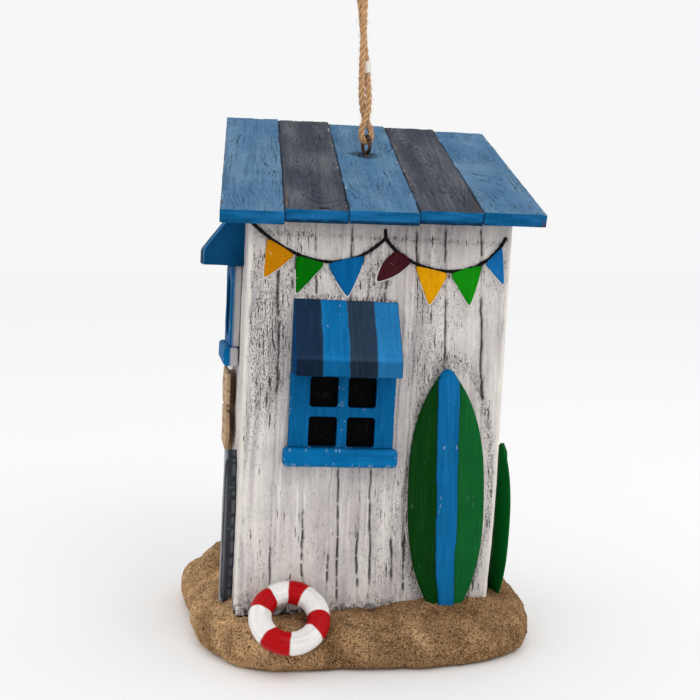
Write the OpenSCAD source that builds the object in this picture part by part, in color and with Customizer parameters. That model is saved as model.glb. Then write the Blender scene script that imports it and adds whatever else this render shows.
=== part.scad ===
// Hanging birdhouse in the shape of a seaside beach hut.
// The base underside is the plane z = 0. The window wall faces -Y and the entrance wall faces -X.
// The hut leans to +X on its base, and its parts are drawn upright in hut() and leaned together.

/* [Hut] */
// Width of the window wall and the back wall
hut_w = 110; // [90:1:140]
// Depth of the hut over its window wall and back wall
hut_d = 107; // [90:1:135]
// Height from the base underside to the roof over the window wall
front_h = 188; // [150:1:225]
// Thickness of the four cast wall panels
wall_t = 5; // [3.5:0.5:7]
// How far the whole hut leans to the right, in degrees
hut_lean = 2.85; // [0:0.05:4]
// How far left of the base centre the hut stands
hut_shift = 4.2; // [0:0.1:8]
// Depth of the hut's footing in the sand
footing_d = 4; // [3:0.5:6]
// Number of planks carved in each wall
plank_n = 8; // [5:1:11]
// Depth of the groove between two planks
groove_d = 0.8; // [0.4:0.1:1.5]

/* [Sand base] */
// How much wider the base is than the hut
sand_wider = 45; // [40:1:90]
// How much deeper the base is than the hut
sand_deeper = 50; // [43:1:88]
// Height of the sand at the walls
sand_h = 21; // [18:0.5:26]

/* [Roof] */
// Width across the five roof boards
roof_w = 134; // [125:1:175]
// Length of a roof board along the slope
roof_l = 142; // [130:1:175]
// Thickness of a roof board
roof_t = 5.5; // [4:0.5:8]
// Width of the centre board, which holds the eye
centre_board_w = 29; // [24:1:40]
// Slope of the centre board, in degrees
roof_pitch = 20.75; // [15:0.25:24]
// How much less each board slopes than the board on its left, in degrees
roof_twist = 0.55; // [0:0.05:0.8]
// Turn of the roof seen from above, in degrees
roof_yaw = -3.8; // [-5:0.1:5]
// Tip of the roof to the side against the hut, in degrees
roof_roll = -1; // [-2:0.1:2]

/* [Eye and rope] */
// Thickness of the eye's wire
wire_d = 1.8; // [1.4:0.1:2.4]
// Radius of the eye's round ends, on the middle of the wire
eye_r = 3.1; // [2.9:0.1:4.5]
// Height of the eye's upper bar above the roof
eye_h = 8.6; // [7.5:0.1:12]
// Distance of the eye behind the middle of its board
eye_back = 14.4; // [5:0.1:25]
// Direction of the eye's bar seen from above, in degrees from +X
eye_turn = -68; // [-90:1:-30]
// Thickness of the rope
rope_d = 3; // [2.4:0.1:3.2]
// Length of the sleeve that joins the rope's two ends
sleeve_l = 5.4; // [4:0.2:10]

/* [Entrance] */
// Diameter of the entrance hole
hole_d = 28; // [25:0.5:32]
// Height of the middle of the hole
hole_h = 146; // [135:1:155]
// Width of the frame around the hole
entrance_frame_w = 41; // [36:1:52]
// Width of the entrance awning
front_awning_w = 54; // [44:1:80]
// How far the entrance awning stands out
front_awning_out = 17.2; // [10:0.2:24]

/* [Window] */
// Distance of the window's middle from the middle of its wall
window_x = -13.4; // [-22:0.2:0]
// Height of the window sill's upper face
window_h = 90.2; // [70:0.2:96]
// Width of one pane
pane_w = 12; // [9:0.5:14]
// Height of one pane
pane_h = 12.6; // [10:0.2:14]
// Width of the bars between the panes
bar_w = 4.2; // [3:0.2:6]
// Width of the frame's two side rails
jamb_w = 8.2; // [5:0.2:10]
// Height of the window awning against the wall
awning_h = 30.4; // [26:0.2:34]
// How far the window awning stands out
awning_out = 17; // [10:0.5:22]
// Height of the awnings' hanging front edges
valance_h = 6.6; // [4:0.2:9]

/* [Boards, ring and bunting] */
// Length of the large surfboard on the window wall
board_l = 111; // [90:1:125]
// Width of the large surfboard
board_w = 33.2; // [24:0.2:36]
// Thickness of the surfboards
board_t = 4.6; // [3:0.2:6]
// Outer diameter of the life ring
ring_d = 34; // [26:0.5:38]
// Thickness of the life ring's tube
ring_tube_d = 9.8; // [7:0.2:12]
// Thickness of the bunting flags
flag_t = 1.6; // [1:0.1:2.5]
// Thickness of the bunting string
string_d = 1.2; // [0.8:0.1:1.8]

/* [Clean-out stopper] */
// Diameter of the stopper's body
stopper_d = 36; // [28:1:42]
// Gap between the stopper and its bore, all round
stopper_gap = 0.05; // [0.02:0.01:0.1]
// Thickness of the stopper's cup wall
stopper_wall = 2.5; // [2:0.5:4]

/* [Hidden] */

$fn = 64;
eps = 0.01;
tall = 80;                        // more than any cut needs
wall_blank_h = 75;                // height of an untrimmed wall above the front of the roof
roof_rise = 150;                  // depth of the space over the boards, cut off the walls' tops
seam_lap = 0.6;                   // the cut for one board laps the next by this much
footing_z = sand_h - footing_d;   // height the walls stand at
front_y = -hut_d / 2;             // outer face of the window wall
left_x = -hut_w / 2;              // outer face of the entrance wall
side_l = hut_d - 2 * wall_t;      // length of a side wall between front and back

roof_blue = [0.33, 0.49, 0.60];
roof_navy = [0.32, 0.34, 0.38];
trim_blue = [0.02, 0.38, 0.60];
dark_blue = [0.10, 0.18, 0.30];
whitewash = [0.80, 0.79, 0.77];
sand = [0.55, 0.42, 0.30];
tan_wood = [0.71, 0.60, 0.49];

// ---- places on the leaning hut and on its roof, for what is drawn upright ----

function turn_x(p, a) = [p.x, p.y * cos(a) - p.z * sin(a), p.y * sin(a) + p.z * cos(a)];
function turn_y(p, a) = [p.x * cos(a) + p.z * sin(a), p.y, p.z * cos(a) - p.x * sin(a)];
function turn_z(p, a) = [p.x * cos(a) - p.y * sin(a), p.x * sin(a) + p.y * cos(a), p.z];

roof_mid = [2.8, 0, front_h + hut_d / 2 * tan(roof_pitch) + roof_t / cos(roof_pitch)];

function on_roof(p) = roof_mid + turn_z(turn_y(turn_x(p, roof_pitch), roof_roll), roof_yaw);
function leaned(p) = [-hut_shift, 0, footing_z] + turn_y(p - [0, 0, footing_z], hut_lean);

module hut() {
    translate([-hut_shift, 0, footing_z])
        rotate([0, hut_lean, 0])
        translate([0, 0, -footing_z])
        children();
}

// ---- sand base ----

lobes = [[2, 100, 0.030], [5, 40, 0.014], [9, 120, 0.009]];   // waves round, turn, height
base_w = hut_w + sand_wider;
base_d = hut_d + sand_deeper;
corner_power = 3.2;                                            // how square the outline is
sand_shift = [-1, 1.8];                 // middle of the base, from the stopper's axis
base_steps = 90;
base_profile = [[0, 5], [2, 1.8], [6, 0], [11, 0.6], [15, 3.6], [18, 9], [20, 16], [21, 30]];

function outline_r(a) =
    pow(pow(abs(cos(a)) / (base_w / 2), corner_power)
        + pow(abs(sin(a)) / (base_d / 2), corner_power), -1 / corner_power)
    * (1 + lobes[0][2] * cos(lobes[0][0] * a + lobes[0][1])
        + lobes[1][2] * sin(lobes[1][0] * a + lobes[1][1])
        + lobes[2][2] * sin(lobes[2][0] * a + lobes[2][1]));

function base_ring(z, inset) = [for (k = [0:base_steps - 1])
    let (a = k * 360 / base_steps, r = outline_r(a) - inset)
    [r * cos(a) + sand_shift.x, r * sin(a) + sand_shift.y, z]];

// A closed skin over rings that all have the same number of points
module skin(rings) {
    n = len(rings[0]);
    m = len(rings);
    side = [for (j = [0:m - 2], i = [0:n - 1]) let (k = (i + 1) % n)
        each [[j * n + i, (j + 1) * n + i, (j + 1) * n + k], [j * n + i, (j + 1) * n + k, j * n + k]]];
    low = [for (i = [0:n - 1]) i];
    high = [for (i = [n - 1:-1:0]) (m - 1) * n + i];
    polyhedron([for (r = rings) each r], concat([low], side, [high]));
}

module sand_base() {
    level = sand_h / 21;
    color(sand) difference() {
        skin([for (p = base_profile) base_ring(p[0] * level, p[1])]);
        hut() translate([left_x, front_y, footing_z]) cube([hut_w, hut_d, tall]);
        translate([0, 0, -eps]) cylinder(h = tall, d = stopper_d + 2 * stopper_gap);
        translate([0, 0, -eps]) cylinder(h = flange_room, d = flange_d + 2 * flange_clear);
    }
}

// ---- walls ----

// Everything above the undersides of the five boards
module roof_space() {
    for (i = [1:5])
        roof_place(i) translate([board_x(i) - (i == 1 ? tall : seam_lap), -roof_l, -roof_t])
            cube([board_width(i) + (i == 1 || i == 5 ? tall : 0) + 2 * seam_lap, 2 * roof_l, roof_rise]);
}

// A panel standing along X with its outer face on y = 0, its planks parted by grooves
module plank_panel(length) {
    pitch = length / plank_n;
    difference() {
        translate([-length / 2, 0, footing_z]) cube([length, wall_t, front_h + wall_blank_h - footing_z]);
        for (i = [1:plank_n - 1])
            translate([-length / 2 + i * pitch, 0, footing_z + footing_d])
                linear_extrude(front_h + wall_blank_h)
                polygon([[-groove_d / 2, -eps], [groove_d / 2, -eps], [0, groove_d]]);
    }
}

module trimmed_to_roof() {
    difference() {
        children();
        roof_space();
    }
}

module wall_window() {
    color(whitewash) hut() trimmed_to_roof() translate([0, front_y, 0]) plank_panel(hut_w);
}

module wall_back() {
    color(whitewash) hut() trimmed_to_roof()
        translate([0, -front_y, 0]) rotate([0, 0, 180]) plank_panel(hut_w);
}

module wall_right() {
    color(whitewash) hut() trimmed_to_roof()
        translate([-left_x, 0, 0]) rotate([0, 0, 90]) plank_panel(side_l);
}

module wall_entrance() {
    color(whitewash) hut() trimmed_to_roof() difference() {
        translate([left_x, 0, 0]) rotate([0, 0, -90]) plank_panel(side_l);
        entrance_bore();
    }
}

module entrance_bore() {
    translate([left_x - tall / 2, 0, hole_h]) rotate([0, 90, 0]) cylinder(h = tall, d = hole_d);
}

// ---- roof ----

side_board_w = (roof_w - centre_board_w) / 4;
board_slip = [0.5, -0.8, 0.4, -0.3, 0.8];     // how far each board is slid down the slope

function board_width(i) = i == 3 ? centre_board_w : side_board_w;
function board_x(i) = -roof_w / 2 + (i - 1) * side_board_w + (i > 3 ? centre_board_w - side_board_w : 0);

module roof_place(i) {
    translate(roof_mid) rotate([roof_pitch + (3 - i) * roof_twist, roof_roll, roof_yaw]) children();
}

module roof_board(i) {
    color(i % 2 == 1 ? roof_blue : roof_navy) hut() roof_place(i)
        translate([board_x(i), -roof_l / 2 - board_slip[i - 1], -roof_t])
        cube([board_width(i), roof_l, roof_t]);
}

module roof_board_1() { roof_board(1); }
module roof_board_2() { roof_board(2); }
module roof_board_3() {
    difference() {
        roof_board(3);
        eye_shank();
    }
}
module roof_board_4() { roof_board(4); }
module roof_board_5() { roof_board(5); }

// ---- window ----

frame_out = 4;
pane_out = 1.2;
sill_h = 8;
low_rail = 0.5;
top_rail = 1.5;
window_w = 2 * (pane_w + jamb_w) + bar_w;
frame_h = low_rail + 2 * pane_h + bar_w + top_rail;
sill_out = 6.5;
sill_round = 2;
sill_past = 2;                    // how far the sill reaches past the frame on each side
awning_short = 0.2;               // how far the awning stops short of the frame on each side
sill_w = window_w + 2 * sill_past;
awning_w = window_w - 2 * awning_short;

module on_window_wall() {
    hut() translate([window_x, front_y, window_h]) rotate([90, 0, 0]) children();
}

// The four openings of the window, as flat shapes
module pane_grid() {
    for (i = [-1, 1], j = [0, 1])
        translate([i * (pane_w + bar_w) / 2 - pane_w / 2, low_rail + j * (pane_h + bar_w)])
            square([pane_w, pane_h]);
}

module window_frame() {
    color(trim_blue) on_window_wall() linear_extrude(frame_out) difference() {
        translate([-window_w / 2, 0]) square([window_w, frame_h]);
        pane_grid();
    }
}

module window_panes() {
    color([0.02, 0.02, 0.02]) on_window_wall() linear_extrude(pane_out) pane_grid();
}

module window_sill() {
    color(trim_blue) on_window_wall() linear_extrude(sill_out) {
        translate([-sill_w / 2 + sill_round, -sill_h]) square([sill_w - 2 * sill_round, sill_h]);
        translate([-sill_w / 2, -sill_h + sill_round]) square([sill_w, sill_h - 2 * sill_round]);
        for (i = [-1, 1], j = [sill_round, sill_h - sill_round])
            translate([i * (sill_w / 2 - sill_round), j - sill_h]) circle(sill_round);
    }
}

// A striped awning with its lower edge on y = 0, its wall on z = 0
module awning(width, out, h) {
    translate([width / 2, 0, 0]) rotate([0, -90, 0]) linear_extrude(width)
        polygon([[0, 0], [out, 0], [out, valance_h], [0, h]]);
}

module window_awning() {
    color(dark_blue) on_window_wall() translate([0, frame_h, 0])
        awning(awning_w, awning_out, awning_h);
}

// ---- entrance ----

entrance_frame_out = 4.5;
entrance_frame_h = 36;
entrance_sill_past = 2.5;
entrance_sill_w = entrance_frame_w + 2 * entrance_sill_past;
entrance_sill_h = 8.5;
entrance_sill_out = 7;
entrance_awning_h = 30;

// Draws on the entrance wall: x runs along the wall towards the window side, y is up, z is out
module on_entrance_wall(y, z) {
    hut() translate([left_x, y, z]) rotate([90, 0, -90]) children();
}

module entrance_frame() {
    color(trim_blue) difference() {
        on_entrance_wall(0, hole_h) translate([-entrance_frame_w / 2, -entrance_frame_h / 2, 0])
            cube([entrance_frame_w, entrance_frame_h, entrance_frame_out]);
        hut() entrance_bore();
    }
}

module entrance_sill() {
    color(trim_blue) on_entrance_wall(0, hole_h - entrance_frame_h / 2 - entrance_sill_h)
        translate([-entrance_sill_w / 2, 0, 0])
        cube([entrance_sill_w, entrance_sill_h, entrance_sill_out]);
}

module entrance_awning() {
    color(dark_blue) on_entrance_wall(0, hole_h + entrance_frame_h / 2)
        awning(front_awning_w, front_awning_out, entrance_awning_h);
}

// ---- signs ----

post_y = 4;
post_w = 5;
post_out = 2.5;
sign_t = 2.5;
sign_h = 17;
sign_l = 38;
sign_point = 7;                   // length of a sign's arrow point
sign_low = 80.5;                  // lower edge of the lower sign
sign_step = 18;                   // height of one sign over the other
sign_tail = 0.4;                  // share of a sign's length on the blunt side of the post

module sign_post() {
    color(tan_wood) on_entrance_wall(post_y, footing_z)
        translate([-post_w / 2, 0, 0])
        cube([post_w, sign_low + sign_step + sign_h - footing_z, post_out]);
}

// A plank with a point at one end; way is 1 or -1
module sign_board(z, way) {
    color(tan_wood) on_entrance_wall(post_y, z) translate([0, 0, post_out]) linear_extrude(sign_t)
        scale([way, 1]) translate([-sign_l * sign_tail, 0])
        polygon([[0, 0], [sign_l - sign_point, 0], [sign_l, sign_h / 2],
            [sign_l - sign_point, sign_h], [0, sign_h]]);
}

module sign_board_upper() { sign_board(sign_low + sign_step, -1); }
module sign_board_lower() { sign_board(sign_low, 1); }

// ---- surfboards ----

stripe_out = 0.8;
board_buried = 7;                 // length of the large board's tail in the sand
small_board_buried = 7;
entrance_board_buried = 6;
small_stripe_w = 6.6;
entrance_stripe_w = 5.6;

function board_half(u) = pow(1 - pow(abs(u), 2.6), 0.8);
board_angles = [for (a = [-90:6:90]) sin(a)];

module board_outline(l, w, inset) {
    right = [for (u = board_angles) [(w / 2 - inset) * board_half(u), u * (l / 2 - inset)]];
    left = [for (i = [len(board_angles) - 2:-1:1]) [-right[i].x, right[i].y]];
    polygon(concat(right, left));
}

// A board standing on its tail, its back on z = 0 and its deck towards +Z
module surfboard(l, w, stripe_w, t = board_t) {
    edge = t / 4;
    translate([0, l / 2, 0]) {
        hull() {
            linear_extrude(t) board_outline(l, w, edge);
            translate([0, 0, edge]) linear_extrude(t - 2 * edge) board_outline(l, w, 0);
        }
        translate([0, 0, t - eps]) linear_extrude(stripe_out)
            intersection() {
                board_outline(l, w, edge);
                translate([-stripe_w / 2, -l / 2]) square([stripe_w, l]);
            }
    }
}

board_x_pos = 35.8;               // tail of the large board from the middle of the window wall
board_tilt = 2.4;
stripe_w = 9.4;

module surfboard_window_side() {
    color([0.02, 0.30, 0.12])
        hut() translate([board_x_pos, front_y, sand_h - board_buried]) rotate([90, 0, 0])
        rotate([0, 0, board_tilt]) surfboard(board_l, board_w, stripe_w);
}

small_board_l = 76;
small_board_w = 26;
small_board_t = 3;
small_board_off = 8.5;            // foot of the small board outside the right wall
small_board_y = 20.5;             // foot of the small board behind the window wall's face
small_board_turn = 99;            // its deck is turned away from the wall
small_board_tilt = 0.8;           // it leans away from the wall

module surfboard_right_side() {
    color([0.01, 0.23, 0.09])
        hut() translate([-left_x + small_board_off, front_y + small_board_y, sand_h - small_board_buried])
        rotate([0, small_board_tilt, 0]) rotate([90, 0, small_board_turn])
        translate([0, 0, -small_board_t / 2])
        surfboard(small_board_l, small_board_w, small_stripe_w, small_board_t);
}

entrance_board_l = 69;
entrance_board_w = 21;
entrance_board_y = -30;           // middle of the board along the entrance wall

module surfboard_entrance_side() {
    color([0.15, 0.15, 0.17]) on_entrance_wall(entrance_board_y, sand_h - entrance_board_buried)
        surfboard(entrance_board_l, entrance_board_w, entrance_stripe_w);
}

// ---- life ring, leaning on the window wall with its front edge in the sand ----

ring_x = -37;
ring_tilt = 40;
ring_r = (ring_d - ring_tube_d) / 2;
ring_y = front_y - ring_tube_d / 2 - ring_r * cos(ring_tilt);
ring_lift = 1.6;                  // the ring's middle over the sand at the wall
ring_z = sand_h + ring_lift;

module life_ring() {
    color([0.85, 0.83, 0.80]) translate([ring_x, ring_y, ring_z]) rotate([ring_tilt, 0, 0])
        rotate_extrude($fn = 96) translate([ring_r, 0]) circle(d = ring_tube_d, $fn = 48);
}

// ---- bunting: two strings that sag from the corners to a peg, and the flags on them ----

// Their places are drawn for one width of wall, as [across, down from the roof], and follow the wall.
bunting_drawn_w = 110;
string_ends = [[[-54.2, 5.7], [-38, 20], [-16, 28], [1.8, 9.4]],
    [[1.8, 9.4], [14, 25], [44, 28], [54, 6.4]]];
string_steps = 18;
string_sunk = 0.3;                // share of the string's radius that sits in the wall

function hung(q) = [q.x * hut_w / bunting_drawn_w, front_h - q.y];

// A point on a string, from its two ends and the two points that pull it down
function on_string(s, t) = let (q = string_ends[s], k = 1 - t)
    hung(k * k * k * q[0] + 3 * k * k * t * q[1] + 3 * k * t * t * q[2] + t * t * t * q[3]);

module bunting_string(s) {
    r = string_d / 2;
    route = [for (i = [0:string_steps]) let (p = on_string(s, i / string_steps))
        [p.x, front_y - r * (1 - string_sunk), p.y]];
    color([0.05, 0.05, 0.06]) hut() skin(tube_rings(route, r, [0, 1, 0]));
}

module bunting_string_left() { bunting_string(0); }
module bunting_string_right() { bunting_string(1); }

// Rings of a tube of radius r along a route; the first ring is squared up to the hint
tube_sides = 8;

function unit(v) = v / norm(v);
function heading(route, i) = unit(route[min(i + 1, len(route) - 1)] - route[max(i - 1, 0)]);
function squared(v, t) = unit(v - (v * t) * t);
function carried(route, hint, i) =
    i == 0 ? squared(hint, heading(route, 0)) : squared(carried(route, hint, i - 1), heading(route, i));
function tube_rings(route, r, hint) = [for (i = [0:len(route) - 1])
    let (t = heading(route, i), a = carried(route, hint, i), b = cross(t, a))
    [for (k = [0:tube_sides - 1]) let (w = k * 360 / tube_sides)
        route[i] + r * cos(w) * a + r * sin(w) * b]];

// Each flag: its string, where its two corners hang on it, its tip, and its colour
flag_drop = 0.9;                  // corners hang this far under the string's middle
flags = [
    [0, 0.13, 0.34, [-48.5, 28.4], [0.80, 0.52, 0.02]],
    [0, 0.35, 0.56, [-34.9, 34.6], [0.05, 0.48, 0.06]],
    [0, 0.58, 0.85, [-13.0, 34.8], [0.08, 0.42, 0.62]],
    [1, 0.10, 0.24, [-1.4, 27.8], [0.24, 0.09, 0.11]],
    [1, 0.275, 0.51, [22.0, 37.0], [0.80, 0.52, 0.02]],
    [1, 0.53, 0.765, [39.6, 36.5], [0.05, 0.48, 0.06]],
    [1, 0.79, 0.95, [54.2, 26.8], [0.08, 0.42, 0.62]]];

module bunting_flag(i) {
    f = flags[i - 1];
    low = [0, -flag_drop];
    color(f[4]) hut() translate([0, front_y, 0]) rotate([90, 0, 0]) linear_extrude(flag_t)
        polygon([on_string(f[0], f[1]) + low, on_string(f[0], f[2]) + low, hung(f[3])]);
}

module bunting_flag_1() { bunting_flag(1); }
module bunting_flag_2() { bunting_flag(2); }
module bunting_flag_3() { bunting_flag(3); }
module bunting_flag_4() { bunting_flag(4); }
module bunting_flag_5() { bunting_flag(5); }
module bunting_flag_6() { bunting_flag(6); }
module bunting_flag_7() { bunting_flag(7); }

// ---- hanger eye: an oval of wire on a shank that is cast into the centre board ----

eye_foot = leaned(on_roof([0, eye_back, 0]));
bar_mid = eye_foot + [0, 0, eye_h];
shank_l = roof_t - 1;             // the shank ends inside the board
limb_l = eye_h - 2 * eye_r - wire_d / 3;

module eye_place() {
    translate(bar_mid) rotate([0, 0, eye_turn]) children();
}

// Half of a round end of the eye, opening towards -Z when way is 1
module eye_bend(way) {
    rotate([90, 0, 0]) rotate([0, 0, way > 0 ? 0 : 180])
        rotate_extrude(angle = 180, $fn = 48) translate([eye_r, 0]) circle(d = wire_d, $fn = 24);
}

module eye_shank() {
    translate([eye_foot.x, eye_foot.y, eye_foot.z - shank_l])
        cylinder(h = shank_l + wire_d, d = wire_d, $fn = 24);
}

module hanger_eye() {
    color([0.17, 0.14, 0.15]) {
        eye_place() translate([0, 0, -eye_r]) {
            eye_bend(1);
            translate([0, 0, -limb_l]) {
                eye_bend(-1);
                for (s = [-1, 1]) translate([s * eye_r, 0, 0])
                    cylinder(h = limb_l, d = wire_d, $fn = 24);
            }
        }
        eye_shank();
    }
}

// ---- rope: one length through the eye and round, its two ends met inside the sleeve ----

// One leg of the loop from the eye up to the top, as [across the bar, along the bar, up].
// The other leg is the same turned half round, so the two twist about each other.
leg = [[0, 0, -2.7], [1.4, 0, -2.3], [2.3, 0, -1.4], [2.7, 0, 0], [2.6, 0.3, 3], [1.8, 1.1, 6],
    [0.6, 1.6, 9], [-0.4, 1.6, 12], [-0.9, 1.3, 15], [-1.4, 0.8, 20], [-1.6, 0, 27],
    [-1.5, -0.4, 32], [-1.4, -0.8, 37], [-1, -1.2, 44], [-0.5, -1.5, 52], [0, -1.6, 60],
    [0.6, -2.2, 66], [1.2, -3.6, 71], [1.6, -4.7, 76], [1.4, -4.1, 78.5], [0.8, -2.4, 80.4],
    [0, 0, 81]];
rope_tip = -0.033;                // the taut rope leans this much for each unit of height
sleeve_at = 11;                   // the point of the second leg that the sleeve is centred on
end_gap = 0.6;                    // between the rope's two ends
sleeve_wall = 0.3;
sleeve_grip = 0.1;                // the sleeve's bore is this much smaller than the rope

function leg_point(q) = turn_z([q.x + rope_tip * q.z, q.y, q.z], eye_turn + 90) + bar_mid;
function other(q) = [-q.x, -q.y, q.z];
function along(p, q, d) = p + unit(q - p) * d;

last = len(leg) - 1;
sleeve_mid = leg_point(other(leg[sleeve_at]));
second_down = [for (i = [sleeve_at - 1:-1:1]) leg_point(other(leg[i]))];
first_up = [for (i = [0:last]) leg_point(leg[i])];
second_top = [for (i = [last - 1:-1:sleeve_at + 1]) leg_point(other(leg[i]))];
route = concat([along(sleeve_mid, second_down[0], end_gap / 2)], second_down, first_up, second_top,
    [along(sleeve_mid, second_top[len(second_top) - 1], end_gap / 2)]);

module hanging_rope() {
    color([0.72, 0.56, 0.38]) skin(tube_rings(route, rope_d / 2, [0, 1, 0]));
}

module rope_sleeve() {
    way = unit(leg_point(other(leg[sleeve_at + 1])) - leg_point(other(leg[sleeve_at - 1])));
    color([0.93, 0.92, 0.90]) translate(sleeve_mid)
        rotate([0, acos(way.z), atan2(way.y, way.x)]) difference() {
            cylinder(h = sleeve_l, d = rope_d + 2 * sleeve_wall, center = true, $fn = 32);
            cylinder(h = sleeve_l + 1, d = rope_d - sleeve_grip, center = true, $fn = 32);
        }
}

// ---- clean-out stopper: a rubber cup pushed up into the base ----

flange_past = 2.5;                // how far the flange reaches past the body all round
flange_d = stopper_d + 2 * flange_past;
flange_t = 2.4;
flange_z = 1.2;                   // the flange sits this far off the ground
flange_room = 3.8;                // depth of the recess for the flange
flange_clear = 0.5;               // gap round the flange in its recess
stopper_head_room = 0.8;          // between the stopper's top and the hut's floor level
stopper_h = footing_z - flange_z - stopper_head_room;
grip_w = 4;
grip_h = 6;

module cleanout_stopper() {
    color([0.10, 0.10, 0.10]) difference() {
        union() {
            translate([0, 0, flange_z]) cylinder(h = flange_t, d = flange_d);
            translate([0, 0, flange_z]) cylinder(h = stopper_h, d = stopper_d);
        }
        translate([0, 0, flange_z - eps])
            cylinder(h = stopper_h - stopper_wall + eps, d = stopper_d - 2 * stopper_wall);
    }
    color([0.10, 0.10, 0.10]) translate([-stopper_d / 2 + stopper_wall / 2, -grip_w / 2, flange_z])
        cube([stopper_d - stopper_wall, grip_w, grip_h]);
}

sand_base();
wall_window();
wall_back();
wall_entrance();
wall_right();
roof_board_1();
roof_board_2();
roof_board_3();
roof_board_4();
roof_board_5();
window_frame();
window_panes();
window_sill();
window_awning();
entrance_awning();
entrance_frame();
entrance_sill();
sign_post();
sign_board_upper();
sign_board_lower();
surfboard_window_side();
surfboard_right_side();
surfboard_entrance_side();
life_ring();
bunting_string_left();
bunting_string_right();
bunting_flag_1();
bunting_flag_2();
bunting_flag_3();
bunting_flag_4();
bunting_flag_5();
bunting_flag_6();
bunting_flag_7();
hanger_eye();
hanging_rope();
rope_sleeve();
cleanout_stopper();
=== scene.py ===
import math

import bpy
import numpy as np
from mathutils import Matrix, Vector
from mathutils.bvhtree import BVHTree


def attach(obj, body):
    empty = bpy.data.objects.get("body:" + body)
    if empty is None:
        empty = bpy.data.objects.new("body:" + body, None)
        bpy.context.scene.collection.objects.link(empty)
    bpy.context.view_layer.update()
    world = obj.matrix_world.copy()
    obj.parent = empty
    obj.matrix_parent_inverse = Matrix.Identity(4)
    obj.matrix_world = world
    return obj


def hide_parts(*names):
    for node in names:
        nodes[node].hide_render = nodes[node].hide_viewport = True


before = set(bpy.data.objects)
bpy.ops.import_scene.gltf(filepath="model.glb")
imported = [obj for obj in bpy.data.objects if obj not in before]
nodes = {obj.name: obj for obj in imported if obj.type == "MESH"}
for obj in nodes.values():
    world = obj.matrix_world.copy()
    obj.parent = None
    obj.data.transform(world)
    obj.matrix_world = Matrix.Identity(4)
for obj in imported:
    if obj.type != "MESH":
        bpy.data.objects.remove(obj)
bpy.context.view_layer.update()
scene = bpy.context.scene

# ---- studio ----
# A pale table under a wide soft light, with a bright room all round. The camera stands low and a
# little to the left of the window wall, so the entrance wall is seen almost edge on.

mm = 0.001

camera_data = bpy.data.cameras.new("camera")
camera_data.lens = 56.57
camera_data.sensor_width = 36
camera_data.clip_start = 0.01
camera = bpy.data.objects.new("camera", camera_data)
scene.collection.objects.link(camera)
camera.location = Vector((-84.14, -507.49, 172.67)) * mm
camera.rotation_mode = "QUATERNION"
looking_at = Vector((-0.58, 0, 126.86)) * mm
camera.rotation_quaternion = (looking_at - camera.location).to_track_quat("-Z", "Y")
scene.camera = camera

room = bpy.data.worlds.new("bright_room")
room.use_nodes = True
room.node_tree.nodes["Background"].inputs["Color"].default_value = (1, 1, 1, 1)
room.node_tree.nodes["Background"].inputs["Strength"].default_value = 0.93
scene.world = room
scene.view_settings.view_transform = "Standard"


def soft_light(name, place, power, size):
    """A round light turned towards the hut's middle."""
    lamp = bpy.data.lights.new(name, "AREA")
    lamp.shape = "DISK"
    lamp.energy, lamp.size = power, size
    held = bpy.data.objects.new(name, lamp)
    held.location = Vector(place)
    held.rotation_mode = "QUATERNION"
    held.rotation_quaternion = (Vector((0, 0, 0.13)) - held.location).to_track_quat("-Z", "Y")
    scene.collection.objects.link(held)


soft_light("key_light", (0.45, -0.95, 1.25), 3.6, 0.8)

table_mesh = bpy.data.meshes.new("table")
table_mesh.from_pydata([(-9, -9, 0), (9, -9, 0), (9, 9, 0), (-9, 9, 0)], [], [(0, 1, 2, 3)])
table = bpy.data.objects.new("table", table_mesh)
scene.collection.objects.link(table)
pale = bpy.data.materials.new("pale_table")
pale.use_nodes = True
pale.node_tree.nodes["Principled BSDF"].inputs["Base Color"].default_value = (0.98, 0.98, 0.98, 1)
pale.node_tree.nodes["Principled BSDF"].inputs["Roughness"].default_value = 1.0
pale.node_tree.nodes["Principled BSDF"].inputs["Specular IOR Level"].default_value = 0.0
table_mesh.materials.append(pale)

# ---- hanging rope ----
# One length of three-ply jute, about 3 mm thick, run through the eye and doubled. Its two legs
# twist about each other on their way up, and a short white sleeve grips one of them.

bar_mid = np.array([9.455, 13.442, 227.423])  # middle of the eye's upper bar
leg_turn = math.radians(22)  # turn of the eye's bar
rope_tip = -0.033  # lean of the taut rope for each unit of height
# One leg of the loop, from under the bar to the top, as [across the bar, along the bar, up].
leg = np.array([
    [0, 0, -2.7], [1.4, 0, -2.3], [2.3, 0, -1.4], [2.7, 0, 0], [2.6, 0.3, 3], [1.8, 1.1, 6],
    [0.6, 1.6, 9], [-0.4, 1.6, 12], [-0.9, 1.3, 15], [-1.4, 0.8, 20], [-1.6, 0, 27],
    [-1.5, -0.4, 32], [-1.4, -0.8, 37], [-1, -1.2, 44], [-0.5, -1.5, 52], [0, -1.6, 60],
    [0.6, -2.2, 66], [1.2, -3.6, 71], [1.6, -4.7, 76], [1.4, -4.1, 78.5], [0.8, -2.4, 80.4],
    [0, 0, 81]])
other_leg = leg * [-1, -1, 1]


def rope_place(points):
    """Points beside the taut rope, as [across, along the bar, up], in millimetres of the part."""
    p = np.array(points, float)
    across = p[:, 0] + rope_tip * p[:, 2]
    c, s = math.cos(leg_turn), math.sin(leg_turn)
    return np.stack([across * c - p[:, 1] * s, across * s + p[:, 1] * c, p[:, 2]], 1) + bar_mid


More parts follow.
